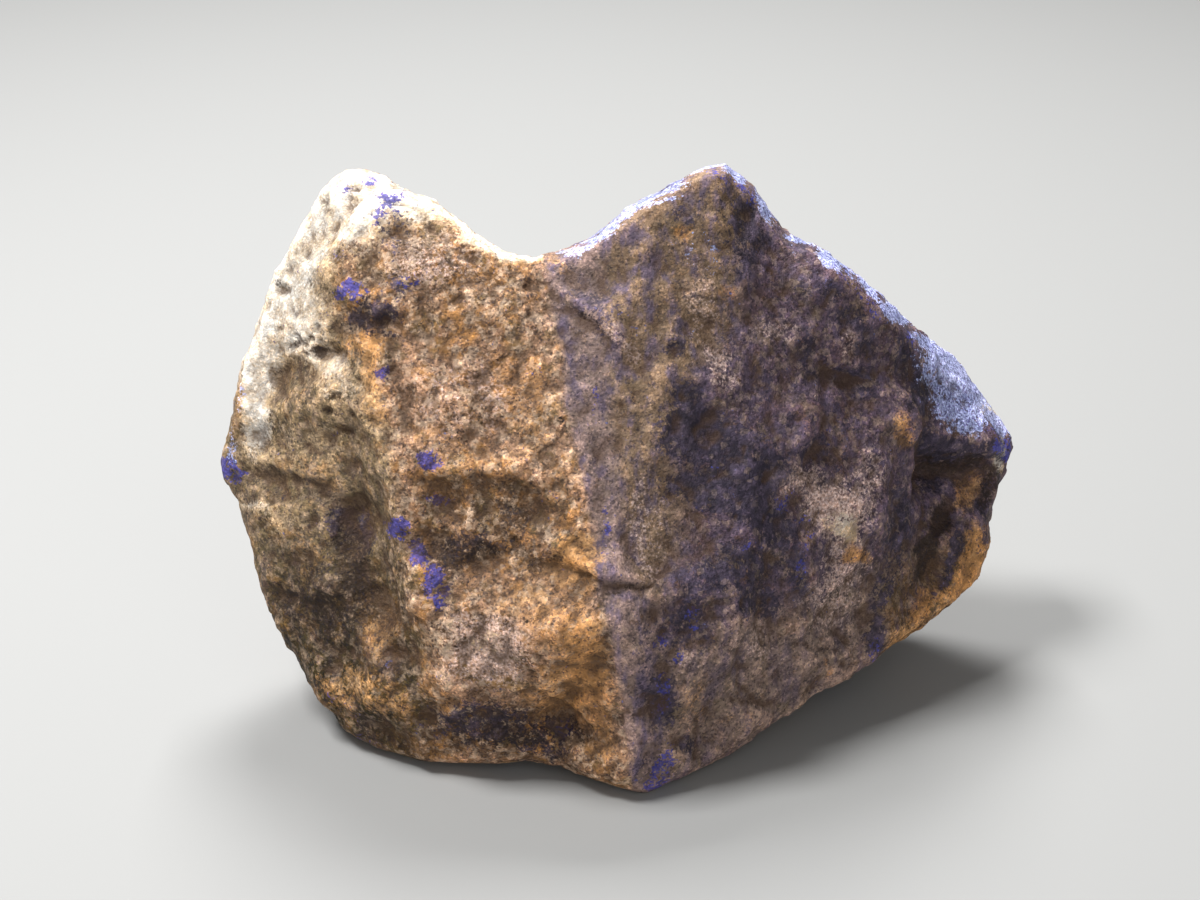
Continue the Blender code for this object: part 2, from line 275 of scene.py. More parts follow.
CRACKS: tuple[Crack, ...] = (
    Crack(((500, 528), (528, 556), (570, 566), (600, 582), (628, 586), (652, 585)), 3.5, 0.40),
    Crack(((548, 306), (572, 312), (600, 326)), 3.0, 0.25),
    Crack(((715, 246), (730, 247), (748, 257)), 2.5, 0.20),
    Crack(((742, 255), (760, 262), (778, 280)), 2.5, 0.15),
    Crack(((800, 646), (828, 652), (840, 650)), 3.0, 0.25),
    Crack(((828, 652), (826, 668), (818, 684)), 2.5, 0.20),
    Crack(((742, 600), (740, 640), (737, 676), (748, 694), (768, 706)), 3.5, 0.32),
    Crack(((770, 600), (771, 622), (770, 642)), 3.5, 0.22),
    Crack(((655, 466), (680, 468)), 2.5, 0.12),
    Crack(((768, 318), (800, 330)), 2.5, 0.12),
    Crack(((770, 300), (795, 312), (812, 318)), 2.5, 0.12),
    Crack(((640, 590), (655, 612), (662, 640)), 3.0, 0.20),
    Crack(((640, 310), (690, 308)), 2.0, 0.08),
    Crack(((655, 188), (668, 186), (680, 180)), 3.5, 0.25),
    Crack(((930, 560), (945, 520), (952, 500)), 6.0, 0.20),
    Crack(((495, 262), (520, 275), (538, 288)), 4.0, 0.20),
    Crack(((336, 450), (350, 500), (364, 560), (382, 612), (404, 655)), 24.0, 1.70),
    Crack(((448, 500), (490, 512), (530, 520)), 24.0, 0.90),
    Crack(((366, 314), (384, 340), (396, 380), (404, 420)), 9.0, 0.70),
    Crack(((440, 560), (470, 570), (505, 566)), 16.0, 0.40),
)

LEDGES: tuple[Ledge, ...] = (
    Ledge(((440, 476), (470, 472), (505, 474), (532, 474), (542, 492)), 0.12, 30.0),
    Ledge(((506, 530), (530, 558), (572, 568), (604, 584), (650, 588)), 0.35, 24.0),
    Ledge(((528, 262), (560, 292), (592, 322), (622, 346)), 0.40, 26.0),
    Ledge(((228, 470), (262, 464), (298, 476), (330, 492)), 0.15, 24.0),
    Ledge(((244, 506), (270, 504), (300, 500)), -0.35, 14.0),
    Ledge(((268, 356), (300, 346), (330, 352), (352, 372)), -0.30, 16.0),
    Ledge(((905, 440), (930, 448), (965, 456), (1000, 470)), 0.15, 22.0),
    Ledge(((330, 322), (352, 300), (385, 290), (402, 292)), 0.30, 18.0),
    Ledge(((390, 430), (425, 422), (452, 428)), 0.20, 14.0),
    Ledge(((400, 596), (432, 606), (470, 600), (520, 592)), -0.30, 20.0),
    Ledge(((330, 660), (370, 656), (402, 664)), -0.25, 14.0),
    Ledge(((690, 605), (718, 598), (740, 596)), 0.35, 16.0),
    Ledge(((800, 352), (835, 368), (872, 380)), 0.30, 16.0),
    Ledge(((745, 545), (772, 552), (790, 566)), 0.25, 12.0),
    Ledge(((505, 688), (540, 690), (575, 706), (600, 730)), 0.40, 26.0),
)

PITS: tuple[Patch, ...] = patches(
    (308, 336, 4, 3, 0.3), (318, 340, 4, 4, 0.3), (296, 334, 4, 3, 0.3), (328, 342, 4, 3, 0.25),
    (306, 352, 5, 3, 0.3), (334, 350, 4, 4, 0.3), (316, 328, 4, 3, 0.25), (322, 352, 9, 7, 0.55),
    (338, 328, 7, 6, 0.2), (300, 342, 5, 4, 0.3), (292, 346, 5, 4, 0.3), (281, 290, 7, 5, 0.35),
    (333, 396, 7, 5, 0.4), (325, 411, 6, 5, 0.35), (341, 431, 6, 5, 0.35), (275, 376, 8, 9, 0.3),
    (356, 186, 4, 3, 0.3), (322, 200, 4, 3, 0.3), (352, 196, 4, 3, 0.25), (280, 330, 4, 3, 0.25),
    (344, 352, 4, 3, 0.25), (338, 402, 4, 3, 0.3), (350, 414, 3, 3, 0.25), (389, 368, 7, 6, 0.25),
    (372, 420, 7, 5, 0.25), (410, 428, 9, 5, 0.25), (294, 312, 6, 4, 0.25), (262, 440, 8, 14, 0.3),
    (310, 520, 8, 6, 0.3), (300, 560, 12, 8, 0.3), (285, 600, 12, 8, 0.3), (330, 600, 12, 8, 0.25),
    (376, 596, 10, 7, 0.15), (460, 650, 14, 10, 0.25), (486, 620, 8, 6, 0.2), (560, 330, 8, 6, 0.15),
    (530, 285, 8, 5, 0.25), (945, 520, 12, 17, 0.4, 12), (700, 425, 26, 18, 0.25),
    (705, 300, 8, 5, 0.15), (676, 350, 10, 8, 0.2), (745, 220, 10, 16, 0.2), (840, 378, 26, 8, 0.3),
    (822, 455, 22, 10, 0.25), (665, 660, 14, 14, 0.25), (655, 705, 14, 18, 0.3),
    (680, 742, 12, 9, 0.25), (360, 545, 24, 32, 0.15), (344, 508, 18, 10, 0.25),
    (420, 540, 26, 12, 0.25), (425, 720, 14, 10, 0.25), (520, 725, 34, 16, 0.3),
    (320, 672, 8, 10, 0.3), (452, 700, 10, 8, 0.2),
)

# Painted shade: darker patches over the hollow under the overhang, the flank's valley, the down-facing
# bottom facets and a few other faces of the front.
PAINTED_SHADE_PATCHES: tuple[Patch, ...] = patches(
    (485, 535, 80, 46, 0.85), (470, 492, 70, 20, 0.5), (430, 740, 80, 16, 0.5),
    (505, 728, 70, 26, 0.9), (440, 285, 110, 60, 0.65), (590, 774, 40, 24, 0.7),
    (380, 650, 22, 60, 0.5, -14), (372, 318, 30, 20, 0.5),
)

CRYSTAL_EDGE: Line = ((543, 250), (550, 300), (560, 350), (564, 400), (575, 450), (586, 500),
                      (591, 550), (601, 600), (612, 650), (620, 700), (632, 790))
BAND_EDGE: Line = ((600, 250), (600, 300), (606, 350), (612, 400), (618, 450), (622, 500),
                   (628, 550), (648, 600), (658, 650), (656, 700), (664, 790))
SLAB_EDGE: Line = ((760, 200), (748, 250), (735, 320), (690, 380), (672, 430), (682, 500),
                   (676, 560), (655, 600), (652, 800))
FLANK_EDGE: Line = ((340, 160), (345, 300), (380, 400), (398, 500), (408, 600), (428, 690),
                    (440, 780))
END_EDGE: Line = ((880, 280), (908, 350), (905, 450), (890, 560), (880, 700))

# The rows of pixels over which the painted shade of the lower, down-facing flank and the foot come in;
# the foot's rows slant about a middle

LOWER_SHADE_ROWS = (480.0, 650.0)
FOOT_ROWS = (585.0, 640.0)
FOOT_SLANT = 0.35
FOOT_MIDDLE = 760.0


@dataclass(frozen=True)
class Rim:
    """A top edge broken back to a rim: its width in pixels, and how far back it goes for each."""

    line: Line
    width: float
    slope: float


RIMS: tuple[Rim, ...] = (
    Rim(((362, 168), (381, 172), (396, 186), (431, 197), (466, 223), (506, 250), (537, 256)), 12.0, 0.9),
    Rim(((552, 251), (592, 234), (628, 206), (653, 190), (680, 173), (704, 162), (725, 161)), 12.0, 1.9),
    Rim(((725, 161), (741, 168), (756, 184), (771, 207), (792, 236)), 12.0, 1.9),
    Rim(((792, 236), (814, 240), (851, 269), (897, 307), (918, 331)), 12.0, 1.4),
    Rim(((918, 331), (949, 345), (979, 383), (1010, 432)), 14.0, 1.2),
)


class Mineral(Enum):
    """What the rock is made of, or stained with, in patches; some patches also paint light or shade, as
    said at each.
    """

    LAPIS = "lapis"
    ROYAL = "royal"
    CHALK = "chalk_and_painted_light"
    HONEY = "honey"
    FROST = "pale_blue_and_rim_light"
    RUST = "rust"
    BLUSH = "blush_and_painted_light"
    STAIN = "stain_and_shade"


# Each mineral's patches on the front; some of them are painted light or painted shade, as said at each.
DEPOSITS: dict[Mineral, tuple[Patch, ...]] = {
    Mineral.LAPIS: patches(
        (685, 390, 18, 12, 0.9), (690, 430, 34, 30, 1.0), (735, 440, 28, 26, 0.8),
        (770, 465, 22, 20, 0.8), (680, 482, 26, 14, 0.7), (715, 490, 30, 28, 0.9),
        (748, 490, 26, 30, 0.9), (770, 520, 22, 26, 0.75), (790, 552, 22, 24, 0.45),
        (800, 576, 14, 18, 0.7), (740, 562, 34, 24, 0.6), (700, 578, 30, 18, 0.7),
        (690, 612, 20, 16, 0.6), (762, 604, 22, 14, 0.7), (742, 252, 14, 26, 0.6),
        (722, 228, 40, 50, 0.32), (676, 346, 14, 10, 0.7), (740, 575, 34, 22, 0.4),
        (700, 640, 10, 16, 0.5), (680, 214, 12, 10, 0.5), (745, 216, 14, 20, 0.7),
        (762, 240, 12, 14, 0.6), (800, 246, 14, 10, 0.6), (830, 290, 14, 14, 0.6),
        (852, 320, 16, 14, 0.7), (866, 346, 14, 14, 0.7), (838, 376, 36, 9, 0.8),
        (862, 392, 16, 9, 0.6), (800, 290, 10, 14, 0.6), (806, 345, 12, 26, 0.6),
        (906, 356, 12, 26, 0.8), (876, 640, 8, 16, 0.8, 25), (916, 400, 10, 22, 0.6),
        (790, 420, 10, 10, 0.5), (812, 450, 18, 12, 0.6), (840, 462, 24, 9, 0.6),
        (840, 420, 26, 18, 0.4), (930, 448, 12, 16, 0.9), (930, 476, 16, 20, 0.8),
        (900, 520, 13, 40, 0.7), (885, 592, 13, 34, 0.6, 12), (870, 640, 14, 22, 0.5, 20),
        (665, 632, 22, 30, 0.5), (660, 700, 20, 24, 0.9), (682, 742, 12, 10, 0.8),
        (358, 530, 18, 28, 0.5), (985, 520, 8, 34, 0.7), (960, 545, 8, 22, 0.6, 20),
        (640, 770, 24, 18, 0.3), (760, 380, 16, 30, 0.4), (720, 340, 10, 20, 0.35),
        (948, 446, 26, 9, 1.0), (978, 454, 20, 8, 0.8), (920, 392, 7, 34, 0.9, -12),
        (966, 386, 12, 10, 0.45), (1000, 452, 12, 9, 0.8), (950, 566, 8, 40, 0.7, 18),
        (372, 314, 28, 18, 0.8), (405, 284, 18, 12, 0.45), (395, 228, 22, 28, 0.4),
        (345, 522, 18, 16, 0.6), (470, 545, 40, 14, 0.45), (446, 600, 12, 18, 0.4),
        # The patch at 590, 300 is painted shade, darkening a face that turns towards the lamps.
        (485, 722, 56, 22, 0.75), (545, 745, 30, 14, 0.6), (590, 300, 30, 34, 0.45),
        (640, 640, 8, 60, 0.3), (560, 728, 22, 12, 0.6), (344, 512, 14, 8, 0.5),
        (330, 566, 14, 16, 0.3),
    ),
    Mineral.ROYAL: patches(
        (355, 292, 16, 10, 1.0), (343, 297, 10, 8, 0.9), (389, 368, 11, 8, 1.0),
        (428, 457, 12, 11, 0.9), (436, 497, 11, 7, 0.8), (397, 527, 10, 13, 1.0),
        (415, 554, 11, 12, 1.0), (428, 574, 11, 18, 1.0), (440, 596, 8, 9, 0.8),
        (386, 200, 13, 11, 0.9), (372, 216, 9, 9, 0.6), (402, 192, 8, 7, 0.6), (338, 258, 7, 7, 0.6),
        (412, 280, 10, 7, 0.6), (225, 466, 9, 11, 1.0), (236, 474, 11, 6, 0.8), (331, 696, 6, 6, 0.6),
        (366, 736, 8, 6, 0.7), (566, 728, 16, 10, 0.7), (788, 502, 9, 18, 0.4),
        (802, 530, 10, 18, 0.4), (806, 562, 7, 24, 0.5), (660, 772, 14, 28, 0.75, 15),
        (672, 652, 10, 14, 0.4), (690, 620, 9, 11, 0.6), (662, 690, 8, 20, 0.6),
        (654, 640, 8, 12, 0.5), (912, 345, 8, 16, 0.6), (344, 186, 8, 6, 0.7), (372, 180, 7, 5, 0.7),
        (752, 196, 8, 20, 0.6, -30), (1006, 446, 11, 14, 1.0), (972, 402, 11, 8, 0.6),
        (990, 432, 9, 8, 0.6), (948, 368, 7, 10, 0.5), (868, 304, 30, 5, 0.6, 42),
        (832, 266, 24, 4, 0.5, 38), (724, 178, 22, 5, 0.5, 20), (830, 440, 8, 8, 0.5),
        (716, 470, 9, 9, 0.4), (750, 545, 9, 9, 0.5), (335, 432, 5, 5, 0.5), (690, 510, 8, 8, 0.4),
        (604, 530, 6, 22, 0.5), (596, 400, 5, 30, 0.4), (875, 650, 8, 14, 0.5),
    ),
    # White chalky crust, and painted light: the pale rim-light band along the left peak's slope, the
    # knob's top, the bright facets, the bulge low in the middle and a dimly lit pale patch on the right.
    Mineral.CHALK: patches(
        (285, 270, 40, 95, 1.0, 14), (300, 325, 38, 30, 0.8), (345, 215, 40, 34, 0.8),
        (375, 240, 50, 50, 0.35), (352, 182, 60, 30, 0.9), (330, 375, 34, 26, 0.5),
        (350, 400, 34, 26, 0.42), (325, 440, 26, 24, 0.5), (258, 400, 20, 66, 1.0),
        (250, 506, 30, 8, 0.7), (325, 360, 20, 14, 0.7), (405, 208, 26, 8, 0.8, 20),
        (455, 218, 30, 6, 0.8, 35), (485, 240, 24, 5, 0.7, 35), (385, 430, 26, 12, 0.5),
        (276, 522, 20, 14, 0.5), (956, 380, 30, 16, 0.75, 50), (984, 412, 16, 12, 0.75, 50),
        (1004, 440, 5, 16, 0.7, -14), (846, 530, 20, 17, 0.7), (440, 636, 18, 26, 0.5),
        (436, 206, 36, 12, 1.0, 28), (480, 236, 34, 11, 1.0, 35), (520, 255, 24, 8, 1.0, 10),
        (396, 190, 16, 10, 0.9, 40), (560, 250, 20, 5, 0.6, -10), (484, 640, 26, 12, 0.5),
        (560, 690, 18, 12, 0.4), (450, 240, 40, 20, 0.3), (430, 310, 24, 10, 0.3),
        (290, 440, 12, 26, 0.4), (330, 460, 8, 30, 0.3), (350, 690, 24, 10, 0.35),
        (690, 440, 6, 5, 0.3), (800, 690, 24, 10, 0.3), (994, 414, 6, 24, 0.8, -30),
        (1000, 462, 5, 20, 0.8, 10), (950, 350, 14, 6, 0.5), (980, 545, 6, 26, 0.4, 20),
        (540, 600, 30, 10, 0.3), (470, 455, 30, 8, 0.4),
    ),
    Mineral.HONEY: patches(
        (372, 345, 12, 34, 0.8), (352, 345, 16, 16, 0.5), (372, 400, 16, 30, 0.7, -15),
        (380, 630, 22, 22, 0.6), (350, 690, 40, 22, 0.6), (395, 705, 22, 14, 0.5),
        (306, 548, 18, 16, 0.4), (452, 470, 60, 30, 0.4), (575, 562, 24, 32, 1.0),
        (584, 650, 24, 46, 0.8), (530, 605, 44, 26, 0.55), (556, 690, 34, 30, 0.6),
        (600, 735, 16, 26, 0.5), (535, 560, 24, 12, 0.5), (530, 410, 24, 50, 0.5),
        (860, 556, 16, 8, 0.8), (975, 555, 18, 40, 0.7, 15), (940, 604, 30, 16, 0.5, -35),
        (905, 640, 26, 10, 0.8, -35), (972, 488, 14, 18, 0.8), (978, 570, 14, 34, 1.0, 20),
        (683, 230, 8, 9, 0.8), (575, 300, 8, 10, 0.4), (690, 270, 24, 40, 0.3), (905, 430, 9, 26, 0.6),
        (320, 470, 30, 20, 0.4), (690, 700, 20, 30, 0.4), (740, 720, 30, 12, 0.3),
        (552, 262, 22, 8, 0.5, 20), (510, 300, 24, 16, 0.3), (362, 202, 10, 8, 0.5),
    ),
    # Pale blue grains, and a painted highlight along the top rims of the peaks, the shoulder and the
    # knob's top.
    Mineral.FROST: patches(
        (640, 200, 30, 9, 1.1, -32), (668, 180, 30, 9, 1.1, -28), (700, 166, 28, 8, 1.1, -12),
        (738, 170, 14, 8, 1.1, 30), (765, 206, 20, 6, 1.0, 55), (800, 240, 18, 7, 1.0),
        (832, 257, 20, 8, 1.0, 38), (866, 286, 24, 9, 1.0, 40), (896, 311, 18, 9, 1.0, 42),
        (928, 340, 16, 8, 1.0, 20), (954, 364, 20, 14, 1.2, 50), (978, 394, 20, 12, 1.2, 52),
        (1000, 426, 13, 8, 1.1, 55), (952, 386, 46, 27, 0.8, 52), (948, 412, 18, 18, 0.7),
        (972, 424, 20, 12, 0.7, 30), (606, 226, 26, 8, 1.0, -35), (570, 249, 26, 5, 0.6, -12),
        (228, 450, 7, 20, 0.6), (700, 245, 26, 30, 0.32), (690, 350, 5, 16, 0.3),
        (664, 202, 22, 3, 0.8, -25), (690, 178, 24, 6, 0.5, -20), (240, 400, 6, 22, 0.4, 10),
        (800, 262, 20, 5, 0.4, 35),
    ),
    Mineral.RUST: patches(
        (378, 350, 13, 30, 0.6), (352, 345, 18, 20, 0.5), (530, 400, 30, 40, 0.45),
        (500, 374, 10, 10, 0.6), (562, 505, 16, 46, 0.5), (574, 562, 18, 26, 0.6),
        (576, 645, 26, 36, 0.8), (592, 692, 24, 34, 0.9), (540, 625, 30, 24, 0.6),
        (545, 700, 24, 20, 0.6), (466, 566, 9, 15, 0.6), (602, 740, 16, 18, 0.5),
        (455, 285, 28, 9, 0.3), (856, 553, 13, 9, 0.9), (972, 570, 16, 40, 0.9, 15),
        (928, 604, 26, 16, 0.8, -35), (726, 290, 9, 13, 0.5), (681, 230, 7, 7, 0.7),
        (812, 420, 22, 14, 0.3), (520, 530, 14, 18, 0.6), (336, 395, 30, 10, 0.4),
        (512, 320, 14, 10, 0.4), (912, 425, 9, 20, 0.5), (900, 650, 22, 8, 0.4, -35),
        (300, 400, 10, 8, 0.3), (520, 268, 18, 8, 0.6, 30), (440, 690, 20, 12, 0.3),
        (640, 700, 8, 10, 0.3), (430, 430, 18, 12, 0.3), (500, 480, 34, 8, 0.5),
        (828, 668, 8, 12, 0.5),
    ),
    # Pale pinkish grains, and painted light on the bulge low in the middle, which faces up.
    Mineral.BLUSH: patches(
        (838, 512, 30, 26, 1.1), (846, 532, 16, 15, 1.2), (790, 474, 28, 14, 0.7),
        (820, 492, 20, 18, 0.7), (716, 355, 14, 10, 0.8), (722, 372, 18, 9, 0.6, 30),
        (850, 346, 10, 28, 0.5), (772, 556, 18, 10, 0.7), (870, 470, 12, 28, 0.5),
        (604, 312, 12, 34, 0.5, -28), (576, 282, 10, 24, 0.4, -30), (630, 350, 8, 14, 0.6, -20),
        (700, 300, 18, 40, 0.5), (640, 520, 10, 60, 0.4), (760, 640, 30, 24, 0.4),
        (830, 600, 30, 30, 0.6), (690, 660, 20, 20, 0.4), (850, 560, 24, 24, 0.6),
        (488, 650, 44, 30, 1.0), (470, 625, 40, 16, 0.6), (655, 540, 14, 60, 0.3),
        (800, 250, 10, 8, 0.3), (780, 330, 34, 10, 0.4), (470, 400, 60, 40, 0.4),
        (430, 260, 50, 30, 0.5), (530, 620, 26, 30, 0.4),
    ),
    # Dark stains, pits and cracks, and painted shade: under the overhang, in the concavity below it,
    # under the knob and along the down-facing bottom.
    Mineral.STAIN: patches(
        (335, 600, 34, 26, 0.6), (300, 600, 30, 44, 0.55), (352, 560, 16, 44, 0.7, -14),
        (490, 512, 50, 18, 0.4), (465, 552, 40, 22, 0.5), (505, 545, 20, 14, 0.5),
        (500, 738, 50, 16, 0.5), (560, 762, 30, 10, 0.5), (400, 640, 12, 40, 0.5, -12),
        (344, 640, 30, 18, 0.5), (268, 500, 20, 30, 0.3), (372, 322, 22, 12, 0.3),
        (392, 360, 8, 30, 0.4, -12), (275, 378, 9, 12, 0.4), (495, 484, 50, 9, 0.5),
        (514, 515, 11, 24, 0.4), (548, 558, 28, 8, 0.6), (612, 584, 40, 3, 0.7),
        (368, 322, 28, 18, 0.3), (386, 365, 16, 26, 0.3), (440, 552, 46, 18, 0.4),
        (530, 722, 62, 24, 0.4, 15), (743, 642, 4, 38, 0.4), (745, 694, 14, 5, 0.4),
        (769, 626, 5, 30, 0.3), (826, 652, 12, 8, 0.6), (664, 467, 22, 3, 0.5), (664, 309, 24, 3, 0.3),
        (318, 500, 30, 16, 0.3), (356, 570, 24, 40, 0.35, -16), (322, 352, 9, 7, 0.9),
        (337, 329, 7, 6, 0.4), (300, 342, 5, 4, 0.9), (292, 346, 5, 4, 0.9), (281, 290, 7, 4, 0.8),
        (333, 396, 7, 4, 0.6), (325, 411, 6, 4, 0.6), (262, 430, 8, 20, 0.4),
        (945, 520, 14, 20, 1.2, 12), (926, 552, 8, 30, 1.1, 18), (912, 580, 6, 16, 0.7, 20),
        (958, 464, 34, 11, 0.9), (926, 470, 14, 20, 0.5), (990, 490, 8, 24, 0.8, 14),
        (575, 316, 26, 4, 0.6, 20), (732, 250, 16, 4, 0.5, 18), (700, 425, 22, 18, 0.4),
        (668, 186, 14, 5, 0.6, -20), (255, 450, 8, 14, 0.4, 30), (244, 520, 8, 16, 0.4),
        (300, 555, 16, 12, 0.3), (290, 605, 26, 14, 0.4), (330, 610, 40, 14, 0.3),
        (575, 725, 26, 10, 0.5, 30),
    ),
}


@dataclass(frozen=True)
class Palette:
    """The rock's colours, as light that each returns, among them painted shade and painted light."""

    flank: Colour = (0.160, 0.115, 0.064, 1.0)
    crystal: Colour = (0.270, 0.158, 0.098, 1.0)
    band: Colour = (0.185, 0.128, 0.116, 1.0)
    slab: Colour = (0.150, 0.098, 0.062, 1.0)
    mottle: Colour = (0.072, 0.048, 0.070, 1.0)
    foot: Colour = (0.175, 0.122, 0.104, 1.0)
    end: Colour = (0.100, 0.056, 0.026, 1.0)
    # Painted shade, darkening the flank towards the bottom where it faces down
    lower_shade: Colour = (0.026, 0.019, 0.005, 1.0)
    # Painted shade, laid over the front's hollows and down-facing facets
    painted_shade: Colour = (0.090, 0.050, 0.026, 1.0)
    orange: Colour = (0.310, 0.150, 0.046, 1.0)
    olive: Colour = (0.120, 0.092, 0.036, 1.0)
    umber: Colour = (0.070, 0.038, 0.022, 1.0)
    cream: Colour = (0.430, 0.310, 0.220, 1.0)
    dusk: Colour = (0.082, 0.064, 0.108, 1.0)
    lapis: Colour = (0.017, 0.014, 0.026, 1.0)
    lapis_light: Colour = (0.058, 0.045, 0.074, 1.0)
    royal: Colour = (0.024, 0.022, 0.150, 1.0)
    royal_light: Colour = (0.056, 0.060, 0.270, 1.0)
    # White crust, which also paints rim light and lit faces
    chalk_and_painted_light: Colour = (0.680, 0.660, 0.625, 1.0)
    chalk_and_painted_light_dull: Colour = (0.420, 0.300, 0.180, 1.0)
    honey: Colour = (0.280, 0.135, 0.042, 1.0)
    honey_light: Colour = (0.470, 0.265, 0.115, 1.0)
    # Pale blue, which also paints the highlight along the top rims
    pale_blue_and_rim_light: Colour = (0.410, 0.475, 0.770, 1.0)
    pale_blue_and_rim_light_dull: Colour = (0.100, 0.100, 0.270, 1.0)
    # Pinkish tan, which also paints the light on the upward bulge
    blush_and_painted_light: Colour = (0.280, 0.180, 0.138, 1.0)
    blush_light: Colour = (0.580, 0.440, 0.400, 1.0)
    soot: Colour = (0.020, 0.016, 0.026, 1.0)
    rust: Colour = (0.300, 0.120, 0.030, 1.0)
    rust_light: Colour = (0.440, 0.235, 0.090, 1.0)
    # Dark stains and pits, and painted shade under overhangs and down-facing facets
    stain_and_shade: Colour = (0.022, 0.013, 0.009, 1.0)


# Shader maths


class Value:
    """A socket that shader maths can be written with."""

    def __init__(self, tree: bpy.types.NodeTree, socket: bpy.types.NodeSocket) -> None:
        """Wraps a socket of a node tree."""
        self.tree = tree
        self.socket = socket

    def maths(self, operation: str, *others: Any) -> "Value":
        """Adds a Math node that starts with this value, and gives its result."""
        return Maker(self.tree).node("ShaderNodeMath", {"operation": operation}, [self, *others])

    def __add__(self, other: Any) -> "Value":
        """This plus another."""
        return self.maths("ADD", other)

    def __radd__(self, other: Any) -> "Value":
        """Another plus this."""
        return self.maths("ADD", other)

    def __sub__(self, other: Any) -> "Value":
        """This less another."""
        return self.maths("SUBTRACT", other)

    def __rsub__(self, other: Any) -> "Value":
        """Another less this."""
        return (self * -1.0) + other

    def __mul__(self, other: Any) -> "Value":
        """This times another."""
        return self.maths("MULTIPLY", other)

    def __rmul__(self, other: Any) -> "Value":
        """Another times this."""
        return self.maths("MULTIPLY", other)

    def swing(self, weight: Any) -> "Value":
        """Swings evenly about nought, by a weight."""
        return (self - 0.5) * weight

    def between(self, low: float, high: float) -> "Value":
        """Rises evenly from nought at low to one at high."""
        return Maker(self.tree).node(
            "ShaderNodeMapRange",
            {"interpolation_type": "SMOOTHSTEP"},
            {"Value": self, "From Min": low, "From Max": high},
        )


@dataclass(frozen=True)
class Fog:
    """Even noise: its lumps' size in millimetres, its finer layers, its start and its harshness."""

    size: float
    detail: float
    shift: float = 0.0
    harshness: float = 0.6


@dataclass(frozen=True)
class Vein:
    """A colour that shows where its fog is thicker than low, and up to its share past high."""

    fog: Fog
    low: float
    high: float
    share: float


FINE_FOG = Fog(0.22, 3.0)
BROAD_FOG = Fog(1.1, 4.0, 0.11)
PATCHY_FOG = Fog(3.4, 5.0, 0.23)
DULL_FOG = Fog(0.5, 3.0, 0.3)
LUMP_FOG = Fog(0.55, 4.0, 0.41)
DUST_FOG = Fog(0.16, 2.0, 0.7)
ORANGE_VEIN = Vein(Fog(2.4, 4.0, 0.31), 0.48, 0.64, 0.62)
OLIVE_VEIN = Vein(Fog(2.6, 4.0, 0.53), 0.52, 0.66, 0.45)
CREAM_VEIN = Vein(Fog(0.9, 4.0, 0.67), 0.50, 0.64, 1.0)
UMBER_VEIN = Vein(Fog(0.9, 4.0, 0.83), 0.54, 0.70, 0.70)
DUSK_VEIN = Vein(Fog(1.3, 4.0, 0.97), 0.46, 0.66, 0.80)


@dataclass(frozen=True)
class Coat:
    """How a mineral's patches show, once their strength and the fraying add up to more than low."""

    strength: float
    fraying: float
    low: float
    high: float
    cover: float

    def mask(self, patch: Value, ragged: Value) -> Value:
        """Says how much of each place the mineral covers."""
        return (patch * self.strength + ragged * self.fraying).between(self.low, self.high)


COATS: dict[Mineral, Coat] = {
    Mineral.BLUSH: Coat(1.0, 1.3, 0.30, 0.90, 0.75),
    Mineral.HONEY: Coat(1.0, 1.0, 0.28, 0.86, 0.75),
    Mineral.CHALK: Coat(1.0, 0.9, 0.34, 0.84, 0.92),
    Mineral.RUST: Coat(1.0, 1.0, 0.30, 0.90, 0.60),
    Mineral.LAPIS: Coat(1.0, 1.2, 0.36, 0.68, 0.90),
    Mineral.ROYAL: Coat(1.05, 1.5, 0.56, 0.84, 0.88),
    Mineral.FROST: Coat(1.2, 1.3, 0.54, 0.92, 0.85),
    Mineral.STAIN: Coat(1.0, 1.1, 0.30, 0.90, 0.92),
}

# A Mix node's colour sockets share their names with others, so they go by number

MIX_SHARE = 0
MIX_FIRST = 6
MIX_SECOND = 7
MIX_RESULT = 2


